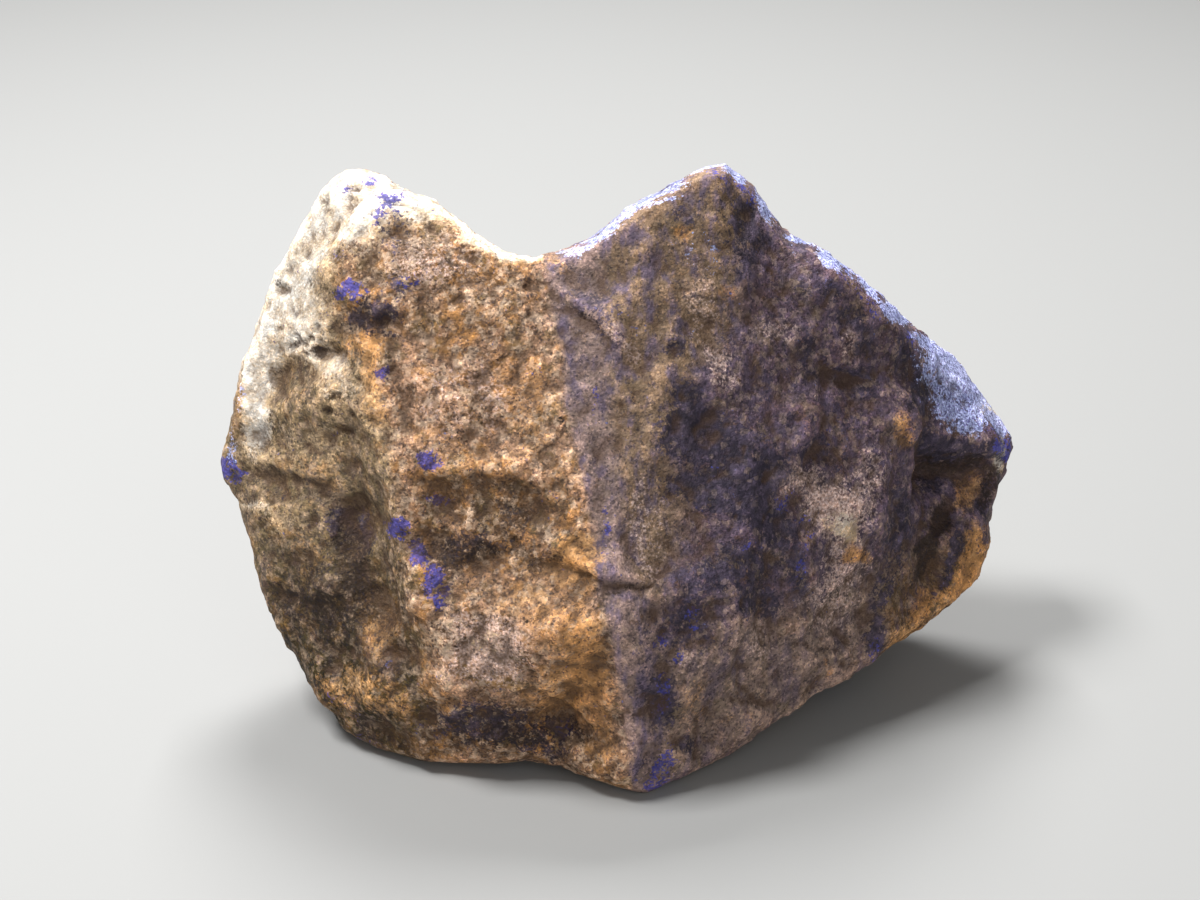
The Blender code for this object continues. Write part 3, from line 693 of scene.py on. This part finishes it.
@dataclass(frozen=True)
class Maker:
    """Adds nodes to one material."""

    tree: bpy.types.NodeTree

    def node(self, kind: str, settings: dict[str, Any], values: Any, output: Any = 0) -> Value:
        """Adds a node.

        Args:
            kind: The node's type.
            settings: Its own settings, which are set first.
            values: A list for its sockets in order, or a dict by socket name; numbers or links.
            output: The name or number of the output that is wanted.

        Returns:
            That output.
        """
        made = self.tree.nodes.new(kind)
        for name, setting in settings.items():
            setattr(made, name, setting)
        pairs = values.items() if isinstance(values, dict) else enumerate(values)
        for key, value in pairs:
            socket = made.inputs[key]
            if isinstance(value, Value):
                self.tree.links.new(value.socket, socket)
            else:
                socket.default_value = value
        return Value(self.tree, made.outputs[output])

    def attribute(self, name: str, output: str = "Fac") -> Value:
        """Reads one of the piece's own attributes."""
        return self.node("ShaderNodeAttribute", {"attribute_name": name}, [], output)

    def mix(self, share: Any, first: Any, second: Any, how: str = "MIX") -> Value:
        """Mixes two colours.

        Args:
            share: How much of the second.
            first: The first colour or link.
            second: The second colour or link.
            how: The way of mixing.

        Returns:
            The mixed colour.
        """
        settings = {"data_type": "RGBA", "blend_type": how, "clamp_factor": True, "clamp_result": False}
        values = {MIX_SHARE: share, MIX_FIRST: first, MIX_SECOND: second}
        return self.node("ShaderNodeMix", settings, values, MIX_RESULT)

    def fog(self, place: Value, fog: Fog) -> Value:
        """Even noise through the rock.

        Args:
            place: Where, as a link.
            fog: The sizes of the noise.

        Returns:
            A value of about nought to one.
        """
        start = (fog.shift, fog.shift, fog.shift)
        moved = self.node("ShaderNodeVectorMath", {"operation": "ADD"}, [place, start])
        values = {"Vector": moved, "Scale": 1.0 / (fog.size * MM), "Detail": fog.detail}
        values["Roughness"] = fog.harshness
        return self.node("ShaderNodeTexNoise", {}, values, "Fac")

    def vein(self, place: Value, vein: Vein) -> Value:
        """Says how much of a vein shows at each place."""
        return self.fog(place, vein.fog).between(vein.low, vein.high) * vein.share

    def grains(self, place: Value, size: float, output: str) -> Value:
        """Angular grains packed side by side, by their colour or their distance."""
        values = {"Vector": place, "Scale": 1.0 / (size * MM), "Randomness": 1.0}
        return self.node("ShaderNodeTexVoronoi", {}, values, output)

    def channel(self, colour: Value, name: str) -> Value:
        """Takes one channel of a colour."""
        return self.node("ShaderNodeSeparateColor", {}, [colour], name)


@dataclass(frozen=True)
class Patterns:
    """What varies through the rock, as links that the methods of its finish share."""

    make: Maker
    place: Value
    coarse: Value
    fine: Value
    broad: Value
    patchy: Value
    cell: Value
    hue: Value
    crumb: Value
    ragged: Value


@dataclass(frozen=True)
class RockFinish:
    """The rock's whole finish: minerals, grain, stains and a broken, dull surface, with painted shade in
    hollows and painted highlights on edges.
    """

    palette: Palette = field(default_factory=Palette)
    roughness: float = 0.56
    roughness_swing: float = 0.30
    shine: float = 0.22
    relief: float = 0.00027
    grain_size: float = 0.24
    crumb_size: float = 0.46
    grit_size: float = 0.17
    edge_size: float = 0.42
    streak_squash: float = 0.3
    grit_gain: Colour = (1.9, 1.8, 1.7, 1.0)
    edge_highlight_gain: Colour = (1.8, 1.75, 1.7, 1.0)

    def material(self) -> bpy.types.Material:
        """Makes the material.

        Returns:
            The rock's material.
        """
        made = bpy.data.materials.new("lapis_rock")
        made.use_nodes = True
        tree = made.node_tree
        shader = tree.nodes["Principled BSDF"]
        rock = self.patterns(Maker(tree))
        colour = self.colour(rock)
        height = self.height(rock)
        bump = rock.make.node("ShaderNodeBump", {}, {"Strength": 1.0, "Distance": 1.0, "Height": height})
        rough = rock.make.fog(rock.place, DULL_FOG) * self.roughness_swing + self.roughness
        tree.links.new(colour.socket, shader.inputs["Base Color"])
        tree.links.new(rough.socket, shader.inputs["Roughness"])
        tree.links.new(bump.socket, shader.inputs["Normal"])
        shader.inputs["Specular IOR Level"].default_value = self.shine
        return made

    def patterns(self, make: Maker) -> Patterns:
        """Makes the patterns that the colour and the relief share.

        Args:
            make: The maker of the material.

        Returns:
            The patterns.
        """
        place = make.node("ShaderNodeTexCoord", {}, [], "Object")
        coarse = make.attribute("grain")
        fine = make.fog(place, FINE_FOG)
        broad = make.fog(place, BROAD_FOG)
        patchy = make.fog(place, PATCHY_FOG)
        grains = make.grains(place, self.grain_size, "Color")
        cell = make.channel(grains, "Red")
        hue = make.channel(grains, "Blue")
        crumb = make.channel(make.grains(place, self.crumb_size, "Color"), "Green")
        ragged = broad.swing(1.2) + patchy.swing(0.6) + fine.swing(1.0) + cell.swing(0.35)
        return Patterns(make, place, coarse, fine, broad, patchy, cell, hue, crumb, ragged)

    def colour(self, rock: Patterns) -> Value:
        """Lays the minerals over the bare rock, and grit over them, with painted shade in hollows and
        painted highlights on edges.

        Args:
            rock: The rock's patterns.

        Returns:
            The rock's colour.
        """
        colour = self.bare_rock(rock)
        colours = self.mineral_colours(rock)
        masks = {}
        for mineral, coat in COATS.items():
            masks[mineral] = coat.mask(rock.make.attribute(mineral.value), rock.ragged)
            colour = rock.make.mix(masks[mineral] * coat.cover, colour, colours[mineral])
        return self.gritty(rock, colour, masks[Mineral.CHALK], masks[Mineral.STAIN])

    def bare_rock(self, rock: Patterns) -> Value:
        """Colours the rock between the minerals: its own tint, with veins and specks.

        Args:
            rock: The rock's patterns.

        Returns:
            The colour of the bare rock.
        """
        make = rock.make
        tone = self.palette
        coarse = rock.coarse
        shade = rock.cell.swing(coarse) * 0.95 + rock.fine.swing(1.1) + rock.crumb.swing(coarse) * 0.45
        shade = shade + rock.patchy.swing(1.1) + rock.broad.swing(1.2) + 1.0
        grey = make.node("ShaderNodeCombineColor", {}, [shade, shade, shade])
        colour = make.mix(1.0, make.attribute("tint", "Color"), grey, "MULTIPLY")
        warm = coarse.between(0.42, 0.95)
        smooth = (1.0 - coarse).between(0.25, 0.60)
        squash = (1.0, 1.0, self.streak_squash)
        tall = make.node("ShaderNodeVectorMath", {"operation": "MULTIPLY"}, [rock.place, squash])
        orange = make.vein(rock.place, ORANGE_VEIN) + rock.hue.between(0.70, 0.98) * 0.25
        layers = (
            (orange * warm, tone.orange),
            (make.vein(rock.place, OLIVE_VEIN) * coarse, tone.olive),
            (make.vein(rock.place, CREAM_VEIN) * (warm * 0.60 + 0.12), tone.cream),
            (make.vein(rock.place, UMBER_VEIN), tone.umber),
            (make.vein(tall, DUSK_VEIN) * smooth, tone.dusk),
            (rock.crumb.between(0.72, 0.97) * coarse * 0.35, tone.cream),
            ((1.0 - rock.crumb).between(0.80, 0.97) * (coarse * 0.14 + 0.06), tone.stain_and_shade),
        )
        for share, over in layers:
            colour = make.mix(share, colour, over)
        return colour

    def mineral_colours(self, rock: Patterns) -> dict[Mineral, Any]:
        """Gives each mineral its colour, which is darker and paler by turns.

        Args:
            rock: The rock's patterns.

        Returns:
            The colour or link of each mineral.
        """
        make = rock.make
        tone = self.palette
        dull = (rock.patchy * 0.4 + rock.fine * 0.3 + rock.broad * 0.3).between(0.38, 0.60) * 0.8
        dull = dull + (1.0 - make.attribute(Mineral.CHALK.value)) * 0.9
        lapis = make.mix(rock.broad.between(0.42, 0.68), tone.lapis, tone.lapis_light)
        return {
            Mineral.BLUSH: make.mix(rock.fine.between(0.35, 0.70), tone.blush_and_painted_light, tone.blush_light),
            Mineral.HONEY: make.mix(rock.broad.between(0.35, 0.65), tone.honey, tone.honey_light),
            Mineral.CHALK: make.mix(dull, tone.chalk_and_painted_light, tone.chalk_and_painted_light_dull),
            Mineral.RUST: make.mix(rock.fine, tone.rust, tone.rust_light),
            Mineral.LAPIS: make.mix(rock.crumb.between(0.86, 0.98) * 0.12, lapis, tone.cream),
            Mineral.ROYAL: make.mix(rock.fine.between(0.35, 0.75), tone.royal, tone.royal_light),
            Mineral.FROST: make.mix(rock.fine.between(0.36, 0.62), tone.pale_blue_and_rim_light_dull, tone.pale_blue_and_rim_light),
            Mineral.STAIN: tone.stain_and_shade,
        }

    def gritty(self, rock: Patterns, colour: Value, chalk_and_painted_light: Value, stain_and_shade: Value) -> Value:
        """Strews pale and dark grit, paints shade into hollows and paints highlights on proud edges.

        Args:
            rock: The rock's patterns.
            colour: The colour so far.
            chalk_and_painted_light: Where the white crust and the painted light of its patches lie,
                which keeps dark grit off.
            stain_and_shade: Where the dark stains and the painted shade lie, which keep their own black
                in hollows.

        Returns:
            The finished colour.
        """
        make = rock.make
        speck = make.channel(make.grains(rock.place, self.grit_size, "Color"), "Green")
        bright = make.mix(1.0, colour, self.grit_gain, "MULTIPLY")
        colour = make.mix(speck.between(0.76, 0.97) * 0.60, colour, bright)
        soot = (1.0 - speck).between(0.74, 0.97) * (0.55 - chalk_and_painted_light * 0.40)
        colour = make.mix(soot, colour, self.palette.soot)
        hollow = make.attribute("hollow")
        # Painted shade: the hollows are darkened with umber
        deep = (hollow - 0.5).between(0.02, 0.5) * (0.70 - stain_and_shade * 0.50)
        colour = make.mix(deep, colour, self.palette.umber)
        # Painted highlight: the proud edges are brightened
        edge_highlight = make.mix(1.0, colour, self.edge_highlight_gain, "MULTIPLY")
        return make.mix((0.5 - hollow).between(0.03, 0.45) * 0.9, colour, edge_highlight)

    def height(self, rock: Patterns) -> Value:
        """Works out the fine relief.

        Args:
            rock: The rock's patterns.

        Returns:
            The relief's height, in metres.
        """
        lumps = rock.make.fog(rock.place, LUMP_FOG)
        dust = rock.make.fog(rock.place, DUST_FOG)
        edges = rock.make.grains(rock.place, self.edge_size, "Distance")
        return (lumps * 0.9 - edges * rock.coarse * 0.35 + dust * 0.22) * self.relief


# The stone itself


@dataclass(frozen=True)
class Lumps:
    """Lumps in the rock: their height, their size in millimetres, and where their pattern starts."""

    height: float
    size: float
    shift: float = 0.0

    def rise(self, places: np.ndarray, pattern: Callable[..., np.ndarray] = lumpy) -> np.ndarray:
        """Says how far each place rises."""
        return self.height * pattern(places, self.size, self.shift)


@dataclass(frozen=True)
class Spread:
    """How a mineral is strewn where lumps of a size in millimetres are thicker than low."""

    share: float
    low: float
    high: float
    size: float
    shift: float

    def cover(self, places: np.ndarray) -> np.ndarray:
        """Says how much of each place the mineral covers."""
        return self.share * smooth_step(self.low, self.high, lumpy(places, self.size, self.shift))


# What the hidden sides are made of

HIDDEN: dict[Mineral, Spread] = {
    Mineral.LAPIS: Spread(0.75, 0.02, 0.30, 9.0, 11.0),
    Mineral.ROYAL: Spread(0.80, 0.25, 0.45, 3.5, 12.0),
    Mineral.CHALK: Spread(0.70, 0.05, 0.35, 7.0, 13.0),
    Mineral.HONEY: Spread(0.60, 0.05, 0.35, 6.0, 17.0),
    Mineral.FROST: Spread(0.35, 0.20, 0.45, 6.0, 16.0),
    Mineral.RUST: Spread(0.60, 0.10, 0.40, 5.0, 14.0),
    Mineral.BLUSH: Spread(0.60, 0.05, 0.40, 5.0, 18.0),
    Mineral.STAIN: Spread(0.50, 0.20, 0.45, 3.0, 15.0),
}
HIDDEN_BAND = Spread(1.0, -0.12, 0.18, 12.0, 21.0)
HIDDEN_MOTTLE = Spread(1.0, 0.0, 0.3, 8.0, 22.0)

# How much small and large hollows count, by the rounds of smoothing that find them

HOLLOW_WEIGHTS = {4: 0.5, 24: 1.0}


@dataclass
class Stone:
    """The lump of rock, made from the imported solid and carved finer.

    Heights are in millimetres, and what is seen strays by pixels.
    """

    view: PhotoView
    finish: RockFinish
    solid_name: str = "lapis_lazuli"
    merge_distance: float = 0.01 * MM
    voxel: float = 0.355 * MM
    smoothing: int = 5
    smoothing_share: float = 0.5
    calm_start: float = 0.15 * MM
    calm_height: float = 2.0 * MM
    hollow_depth: float = 0.36 * MM
    pores: tuple[Lumps, ...] = (Lumps(0.16, 2.6), Lumps(0.10, 1.3, 5.1))
    swells: tuple[Lumps, ...] = (Lumps(0.13, 0.80, 9.7), Lumps(0.25, 5.0, 6.3))
    seams: Lumps = Lumps(0.20, 3.4, 4.4)
    seam_sharpness: int = 6
    flakes: tuple[Lumps, ...] = (Lumps(0.55, 3.1, 3.3), Lumps(0.50, 1.4, 6.1))
    streaks: Lumps = Lumps(0.16, 1.3, 2.2)
    streak_squash: float = 0.22
    carving_strays: tuple[Lumps, ...] = (Lumps(3.0, 1.4, 7.0),)
    mineral_strays: tuple[Lumps, ...] = (Lumps(9.0, 3.0, 1.0), Lumps(5.0, 1.1, 2.0))
    least_rough: float = 0.35
    band_calm: float = 0.70
    mottle_calm: float = 0.45
    flank_calm: float = 0.35
    hidden_coarseness: float = 0.85
    edge_on: float = -0.05
    carving_front: float = 0.25
    mineral_front: float = 0.20
    ledge_foot: float = 1.5
    ledge_lip: float = 2.5
    sunk_fade: float = 0.6
    proud_share: float = 0.55
    sunk_share: float = 0.45
    ledge_share: float = 0.60
    crack_share: float = 0.55
    back_reach: float = 6.0
    skin: bpy.types.Object = field(init=False)

    def build(self) -> bpy.types.Object:
        """Builds, carves and dresses the stone.

        Returns:
            The stone's object.
        """
        self.skin = self.fine_copy()
        self.carve()
        self.lay_minerals()
        self.dress()
        log.info("stone: %d faces", len(self.skin.data.polygons))
        return self.skin

    def fine_copy(self) -> bpy.types.Object:
        """Copies the solid, merges its loose triangles and gives it an even, fine skin.

        Returns:
            The copy.
        """
        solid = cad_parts[self.solid_name]
        stone = bpy.data.objects.new("stone_skin", solid.data.copy())
        bpy.context.scene.collection.objects.link(stone)
        bpy.ops.object.select_all(action="DESELECT")
        stone.select_set(True)
        bpy.context.view_layer.objects.active = stone
        bpy.ops.object.mode_set(mode="EDIT")
        bpy.ops.mesh.select_all(action="SELECT")
        bpy.ops.mesh.remove_doubles(threshold=self.merge_distance)
        bpy.ops.object.mode_set(mode="OBJECT")
        fine = stone.modifiers.new("fine skin", "REMESH")
        fine.mode = "VOXEL"
        fine.voxel_size = self.voxel
        bpy.ops.object.modifier_apply(modifier=fine.name)
        soft = stone.modifiers.new("softer facets", "SMOOTH")
        soft.factor = self.smoothing_share
        soft.iterations = self.smoothing
        bpy.ops.object.modifier_apply(modifier=soft.name)
        return stone

    def read(self, what: str) -> np.ndarray:
        """Reads what each vertex of the skin has.

        Args:
            what: Its name: co for its place, normal for its outward direction.

        Returns:
            One row of x, y and z for each vertex.
        """
        flat = np.empty(len(self.skin.data.vertices) * 3)
        self.skin.data.vertices.foreach_get(what, flat)
        return flat.reshape(-1, 3)

    def facing(self, normals: np.ndarray, full: float) -> np.ndarray:
        """Says how much of each place is seen from the front, all of it from a full slant on."""
        return smooth_step(self.edge_on, full, normals @ self.view.towards)

    def calm(self, places: np.ndarray) -> np.ndarray:
        """Says how much each place may move: not at all where the stone stands."""
        return smooth_step(self.calm_start, self.calm_height, places[:, 2])

    def strayed(self, places: np.ndarray, strays: tuple[Lumps, ...]) -> tuple[np.ndarray, np.ndarray]:
        """Finds where places are seen, and lets it stray, so that no edge runs straight.

        Args:
            places: The places of the vertices.
            strays: How far it strays. The same lumps start elsewhere for the pixels down.

        Returns:
            The pixels across and the pixels down, one of each for each place.
        """
        across, down = self.view.pixels(places)
        for lumps in strays:
            across = across + lumps.rise(places)
            down = down + lumps.height * lumpy(places, lumps.size, lumps.shift + len(strays))
        return across, down

    def coarseness(self, places: np.ndarray, facing: np.ndarray) -> np.ndarray:
        """Says how coarse the rock is at each place.

        Args:
            places: The places of the vertices.
            facing: How much of each is seen from the front.

        Returns:
            Nought for smooth rock, one for the coarsest.
        """
        across, down = self.view.pixels(places)
        mottled = right_of(across, down, SLAB_EDGE, 25.0)
        banded = right_of(across, down, CRYSTAL_EDGE, 4.0) * (1.0 - mottled)
        flank = 1.0 - right_of(across, down, FLANK_EDGE, 20.0)
        front = 1.0 - self.band_calm * banded - self.mottle_calm * mottled - self.flank_calm * flank
        return facing * front + (1.0 - facing) * self.hidden_coarseness

    def carve(self) -> None:
        """Carves lumps, grains, ledges, cracks and pits."""
        places = self.read("co")
        normals = self.read("normal")
        facing = self.facing(normals, self.carving_front)
        coarse = self.coarseness(places, facing)
        rough = self.least_rough + (1.0 - self.least_rough) * coarse
        rise = coarse * sum(lumps.rise(places) for lumps in self.pores)
        rise += rough * sum(lumps.rise(places) for lumps in self.swells)
        seams = 1.0 - np.abs(lumpy(places, self.seams.size, self.seams.shift))
        rise -= rough * self.seams.height * seams ** self.seam_sharpness
        rise += rough * sum(lumps.rise(places, chips) for lumps in self.flakes)
        streaked = places * np.array([1.0, 1.0, self.streak_squash])
        rise += (1.0 - coarse) * facing * self.streaks.rise(streaked)
        across, down = self.strayed(places, self.carving_strays)
        rise += facing * self.broken(across, down)
        moved = places + normals * (rise * MM * self.calm(places))[:, None]
        moved = self.slope_rims(moved, facing)
        moved[:, 2] = np.maximum(moved[:, 2], 0.0)
        self.skin.data.vertices.foreach_set("co", moved.ravel())
        self.skin.data.update()

    def broken(self, across: np.ndarray, down: np.ndarray) -> np.ndarray:
        """Adds up the ledges, cracks and pits of the front.

        Args:
            across: Pixels across, one for each place.
            down: Pixels down, one for each place.

        Returns:
            How far each place goes out, in millimetres.
        """
        rise = np.zeros(len(across))
        for ledge in LEDGES:
            above = above_line(across, down, ledge.line)
            proud = smooth_step(-self.ledge_foot, self.ledge_lip, above)
            proud *= 1.0 - smooth_step(self.ledge_lip, ledge.fade, above)
            sunk = (1.0 - smooth_step(0.0, self.sunk_fade * ledge.fade, -above)) * (above < 0.0)
            step = self.proud_share * proud - self.sunk_share * sunk
            ends = between_ends(across, ledge.line, outside=4.0, inside=10.0)
            rise += self.ledge_share * ledge.rise * ends * step
        for crack in CRACKS:
            apart = above_line(across, down, crack.line)
            rise -= self.crack_share * crack.depth * np.exp(-((apart / crack.half_width) ** 2))
        for pit in PITS:
            rise -= pit.cover(across, down)
        return rise

    def slope_rims(self, places: np.ndarray, facing: np.ndarray) -> np.ndarray:
        """Breaks the top edges back along the line of sight, so that their outline stays.

        Args:
            places: The places of the vertices.
            facing: How much of each is seen from the front.

        Returns:
            The same places, with those near a rim moved back.
        """
        across, down = self.view.pixels(places)
        back = np.zeros(len(places))
        for rim in RIMS:
            above = above_line(across, down, rim.line)
            reach = rim.width * (1.0 + self.back_reach * (1.0 - facing))
            share = between_ends(across, rim.line, outside=10.0, inside=10.0)
            share *= np.clip(1.0 + above / reach, 0.0, 1.0)
            back = np.maximum(back, share * rim.width * self.view.pixel * rim.slope)
        return places - self.view.towards * back[:, None]

    def hollows(self, places: np.ndarray, normals: np.ndarray) -> np.ndarray:
        """Finds the hollows and the proud edges, by smoothing a copy of the surface.

        Args:
            places: The places of the vertices.
            normals: The outward directions at the vertices.

        Returns:
            Half on even ground, one in a deep hollow, nought on a sharp edge.
        """
        ends = np.empty(len(self.skin.data.edges) * 2, dtype=np.int64)
        self.skin.data.edges.foreach_get("vertices", ends)
        first, second = ends.reshape(-1, 2).T
        count = np.bincount(first, minlength=len(places)) + np.bincount(second, minlength=len(places))
        smooth = places.copy()
        total = np.zeros(len(places))
        for step in range(1, max(HOLLOW_WEIGHTS) + 1):
            around = np.empty_like(smooth)
            for axis in range(3):
                around[:, axis] = np.bincount(first, smooth[second, axis], len(places))
                around[:, axis] += np.bincount(second, smooth[first, axis], len(places))
            smooth = 0.5 * smooth + 0.5 * around / count[:, None]
            if step in HOLLOW_WEIGHTS:
                total += np.einsum("vk,vk->v", smooth - places, normals) * HOLLOW_WEIGHTS[step]
        return np.clip(0.5 + total / self.hollow_depth, 0.0, 1.0)

    def lay_minerals(self) -> None:
        """Stores on the skin what it is made of at each place, the painted shade and light that some
        patches carry, and how hollow it is.
        """
        places = self.read("co")
        normals = self.read("normal")
        facing = self.facing(normals, self.mineral_front)
        across, down = self.strayed(places, self.mineral_strays)
        for mineral, ovals in DEPOSITS.items():
            hidden = HIDDEN[mineral].cover(places)
            self.store(mineral.value, facing * covered(across, down, ovals) + (1.0 - facing) * hidden)
        self.store("grain", self.coarseness(places, facing))
        self.store("hollow", self.hollows(places, normals))
        front = self.front_tint(across, down)
        tint = facing[:, None] * front + (1.0 - facing)[:, None] * self.hidden_tint(places)
        layer = self.skin.data.attributes.new("tint", "FLOAT_COLOR", "POINT")
        layer.data.foreach_set("color", tint.astype(np.float32).ravel())

    def store(self, name: str, values: np.ndarray) -> None:
        """Stores one number for each vertex under a name."""
        layer = self.skin.data.attributes.new(name, "FLOAT", "POINT")
        layer.data.foreach_set("value", values.astype(np.float32))

    def front_tint(self, across: np.ndarray, down: np.ndarray) -> np.ndarray:
        """Works out the plain colour of the front between the minerals, zone over zone, with painted
        shade in its hollows and on its lower flank.

        Args:
            across: Pixels across, one for each place.
            down: Pixels down, one for each place.

        Returns:
            One colour for each place.
        """
        tone = self.finish.palette
        rows = np.tile(np.array(tone.flank), (len(across), 1))
        low = smooth_step(*FOOT_ROWS, down + FOOT_SLANT * (across - FOOT_MIDDLE))
        zones = (
            # Painted shade: the flank darkens towards the bottom, where it faces down
            (smooth_step(*LOWER_SHADE_ROWS, down), tone.lower_shade),
            (right_of(across, down, FLANK_EDGE, 14.0), tone.crystal),
            # Painted shade over the front's hollows and down-facing facets
            (covered(across, down, PAINTED_SHADE_PATCHES), tone.painted_shade),
            (right_of(across, down, CRYSTAL_EDGE, 8.0), tone.band),
            (right_of(across, down, BAND_EDGE, 10.0), tone.slab),
            (right_of(across, down, SLAB_EDGE, 24.0), tone.mottle),
            (right_of(across, down, SLAB_EDGE, 14.0) * low, tone.foot),
            (right_of(across, down, END_EDGE, 14.0) * low, tone.end),
        )
        for share, colour in zones:
            rows += share[:, None] * (np.array(colour) - rows)
        return rows

    def hidden_tint(self, places: np.ndarray) -> np.ndarray:
        """Works out the plain colour of the hidden sides between the minerals.

        Args:
            places: The places of the vertices.

        Returns:
            One colour for each place.
        """
        tone = self.finish.palette
        band = HIDDEN_BAND.cover(places)[:, None]
        mottle = HIDDEN_MOTTLE.cover(places)[:, None]
        rows = np.array(tone.crystal) + band * (np.array(tone.band) - np.array(tone.crystal))
        return rows + mottle * (np.array(tone.mottle) - rows)

    def dress(self) -> None:
        """Gives the stone its finish and ties it to the solid it stands for."""
        stone = self.skin
        stone.data.materials.clear()
        stone.data.materials.append(self.finish.material())
        stone.data.shade_smooth()
        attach(stone, "root")
        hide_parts(self.solid_name)


# The room


@dataclass(frozen=True)
class Lamp:
    """A soft square lamp: its place and width in metres, and its power in watts."""

    name: str
    place: tuple[float, float, float]
    size: float
    power: float

    def hang(self, target: Vector) -> None:
        """Hangs the lamp so that it looks at a target.

        Args:
            target: The place that it looks at.
        """
        lamp_data = bpy.data.lights.new(self.name, "AREA")
        lamp_data.size = self.size
        lamp_data.energy = self.power
        lamp = bpy.data.objects.new(self.name, lamp_data)
        bpy.context.scene.collection.objects.link(lamp)
        lamp.location = self.place
        lamp.rotation_mode = "QUATERNION"
        lamp.rotation_quaternion = (target - Vector(self.place)).to_track_quat("-Z", "Y")


@dataclass(frozen=True)
class Studio:
    """A plain pale floor and plain soft light."""

    floor_size: float = 3.0
    floor_colour: Colour = (0.30, 0.30, 0.295, 1.0)
    floor_roughness: float = 0.8
    sky_colour: Colour = (1.0, 1.0, 1.0, 1.0)
    sky_strength: float = 0.19
    target: tuple[float, float, float] = (0.0, 0.0, 0.02)
    lamps: tuple[Lamp, ...] = (
        Lamp("key", (-0.17, -0.04, 0.38), 0.12, 2.3),
        Lamp("rim", (-0.02, 0.22, 0.36), 0.14, 2.1),
        Lamp("fill", (0.10, -0.48, 0.24), 0.5, 1.0),
    )

    def build(self) -> None:
        """Builds the floor, the sky and the lamps."""
        self.lay_floor()
        self.light_sky()
        for lamp in self.lamps:
            lamp.hang(Vector(self.target))
        bpy.context.scene.view_settings.view_transform = "Standard"
        log.info("studio: floor, sky and %d lamps", len(self.lamps))

    def lay_floor(self) -> None:
        """Lays the floor under the stone."""
        bpy.ops.object.select_all(action="DESELECT")
        bpy.ops.mesh.primitive_plane_add(size=self.floor_size, location=(0.0, 0.0, 0.0))
        floor = bpy.context.active_object
        floor.name = "floor"
        made = bpy.data.materials.new("pale_floor")
        made.use_nodes = True
        shader = made.node_tree.nodes["Principled BSDF"]
        shader.inputs["Base Color"].default_value = self.floor_colour
        shader.inputs["Roughness"].default_value = self.floor_roughness
        floor.data.materials.append(made)

    def light_sky(self) -> None:
        """Lights the whole scene evenly."""
        sky = bpy.data.worlds.new("studio_sky")
        sky.use_nodes = True
        back = sky.node_tree.nodes["Background"]
        back.inputs["Color"].default_value = self.sky_colour
        back.inputs["Strength"].default_value = self.sky_strength
        bpy.context.scene.world = sky


def main() -> None:
    """Builds the stone, its floor, its light and its camera."""
    logging.basicConfig(level=logging.INFO, format="%(name)s: %(message)s")
    view = PhotoView()
    Stone(view, RockFinish()).build()
    Studio().build()
    view.set_camera()
    log.info("camera set")


if __name__ == "__main__":
    main()
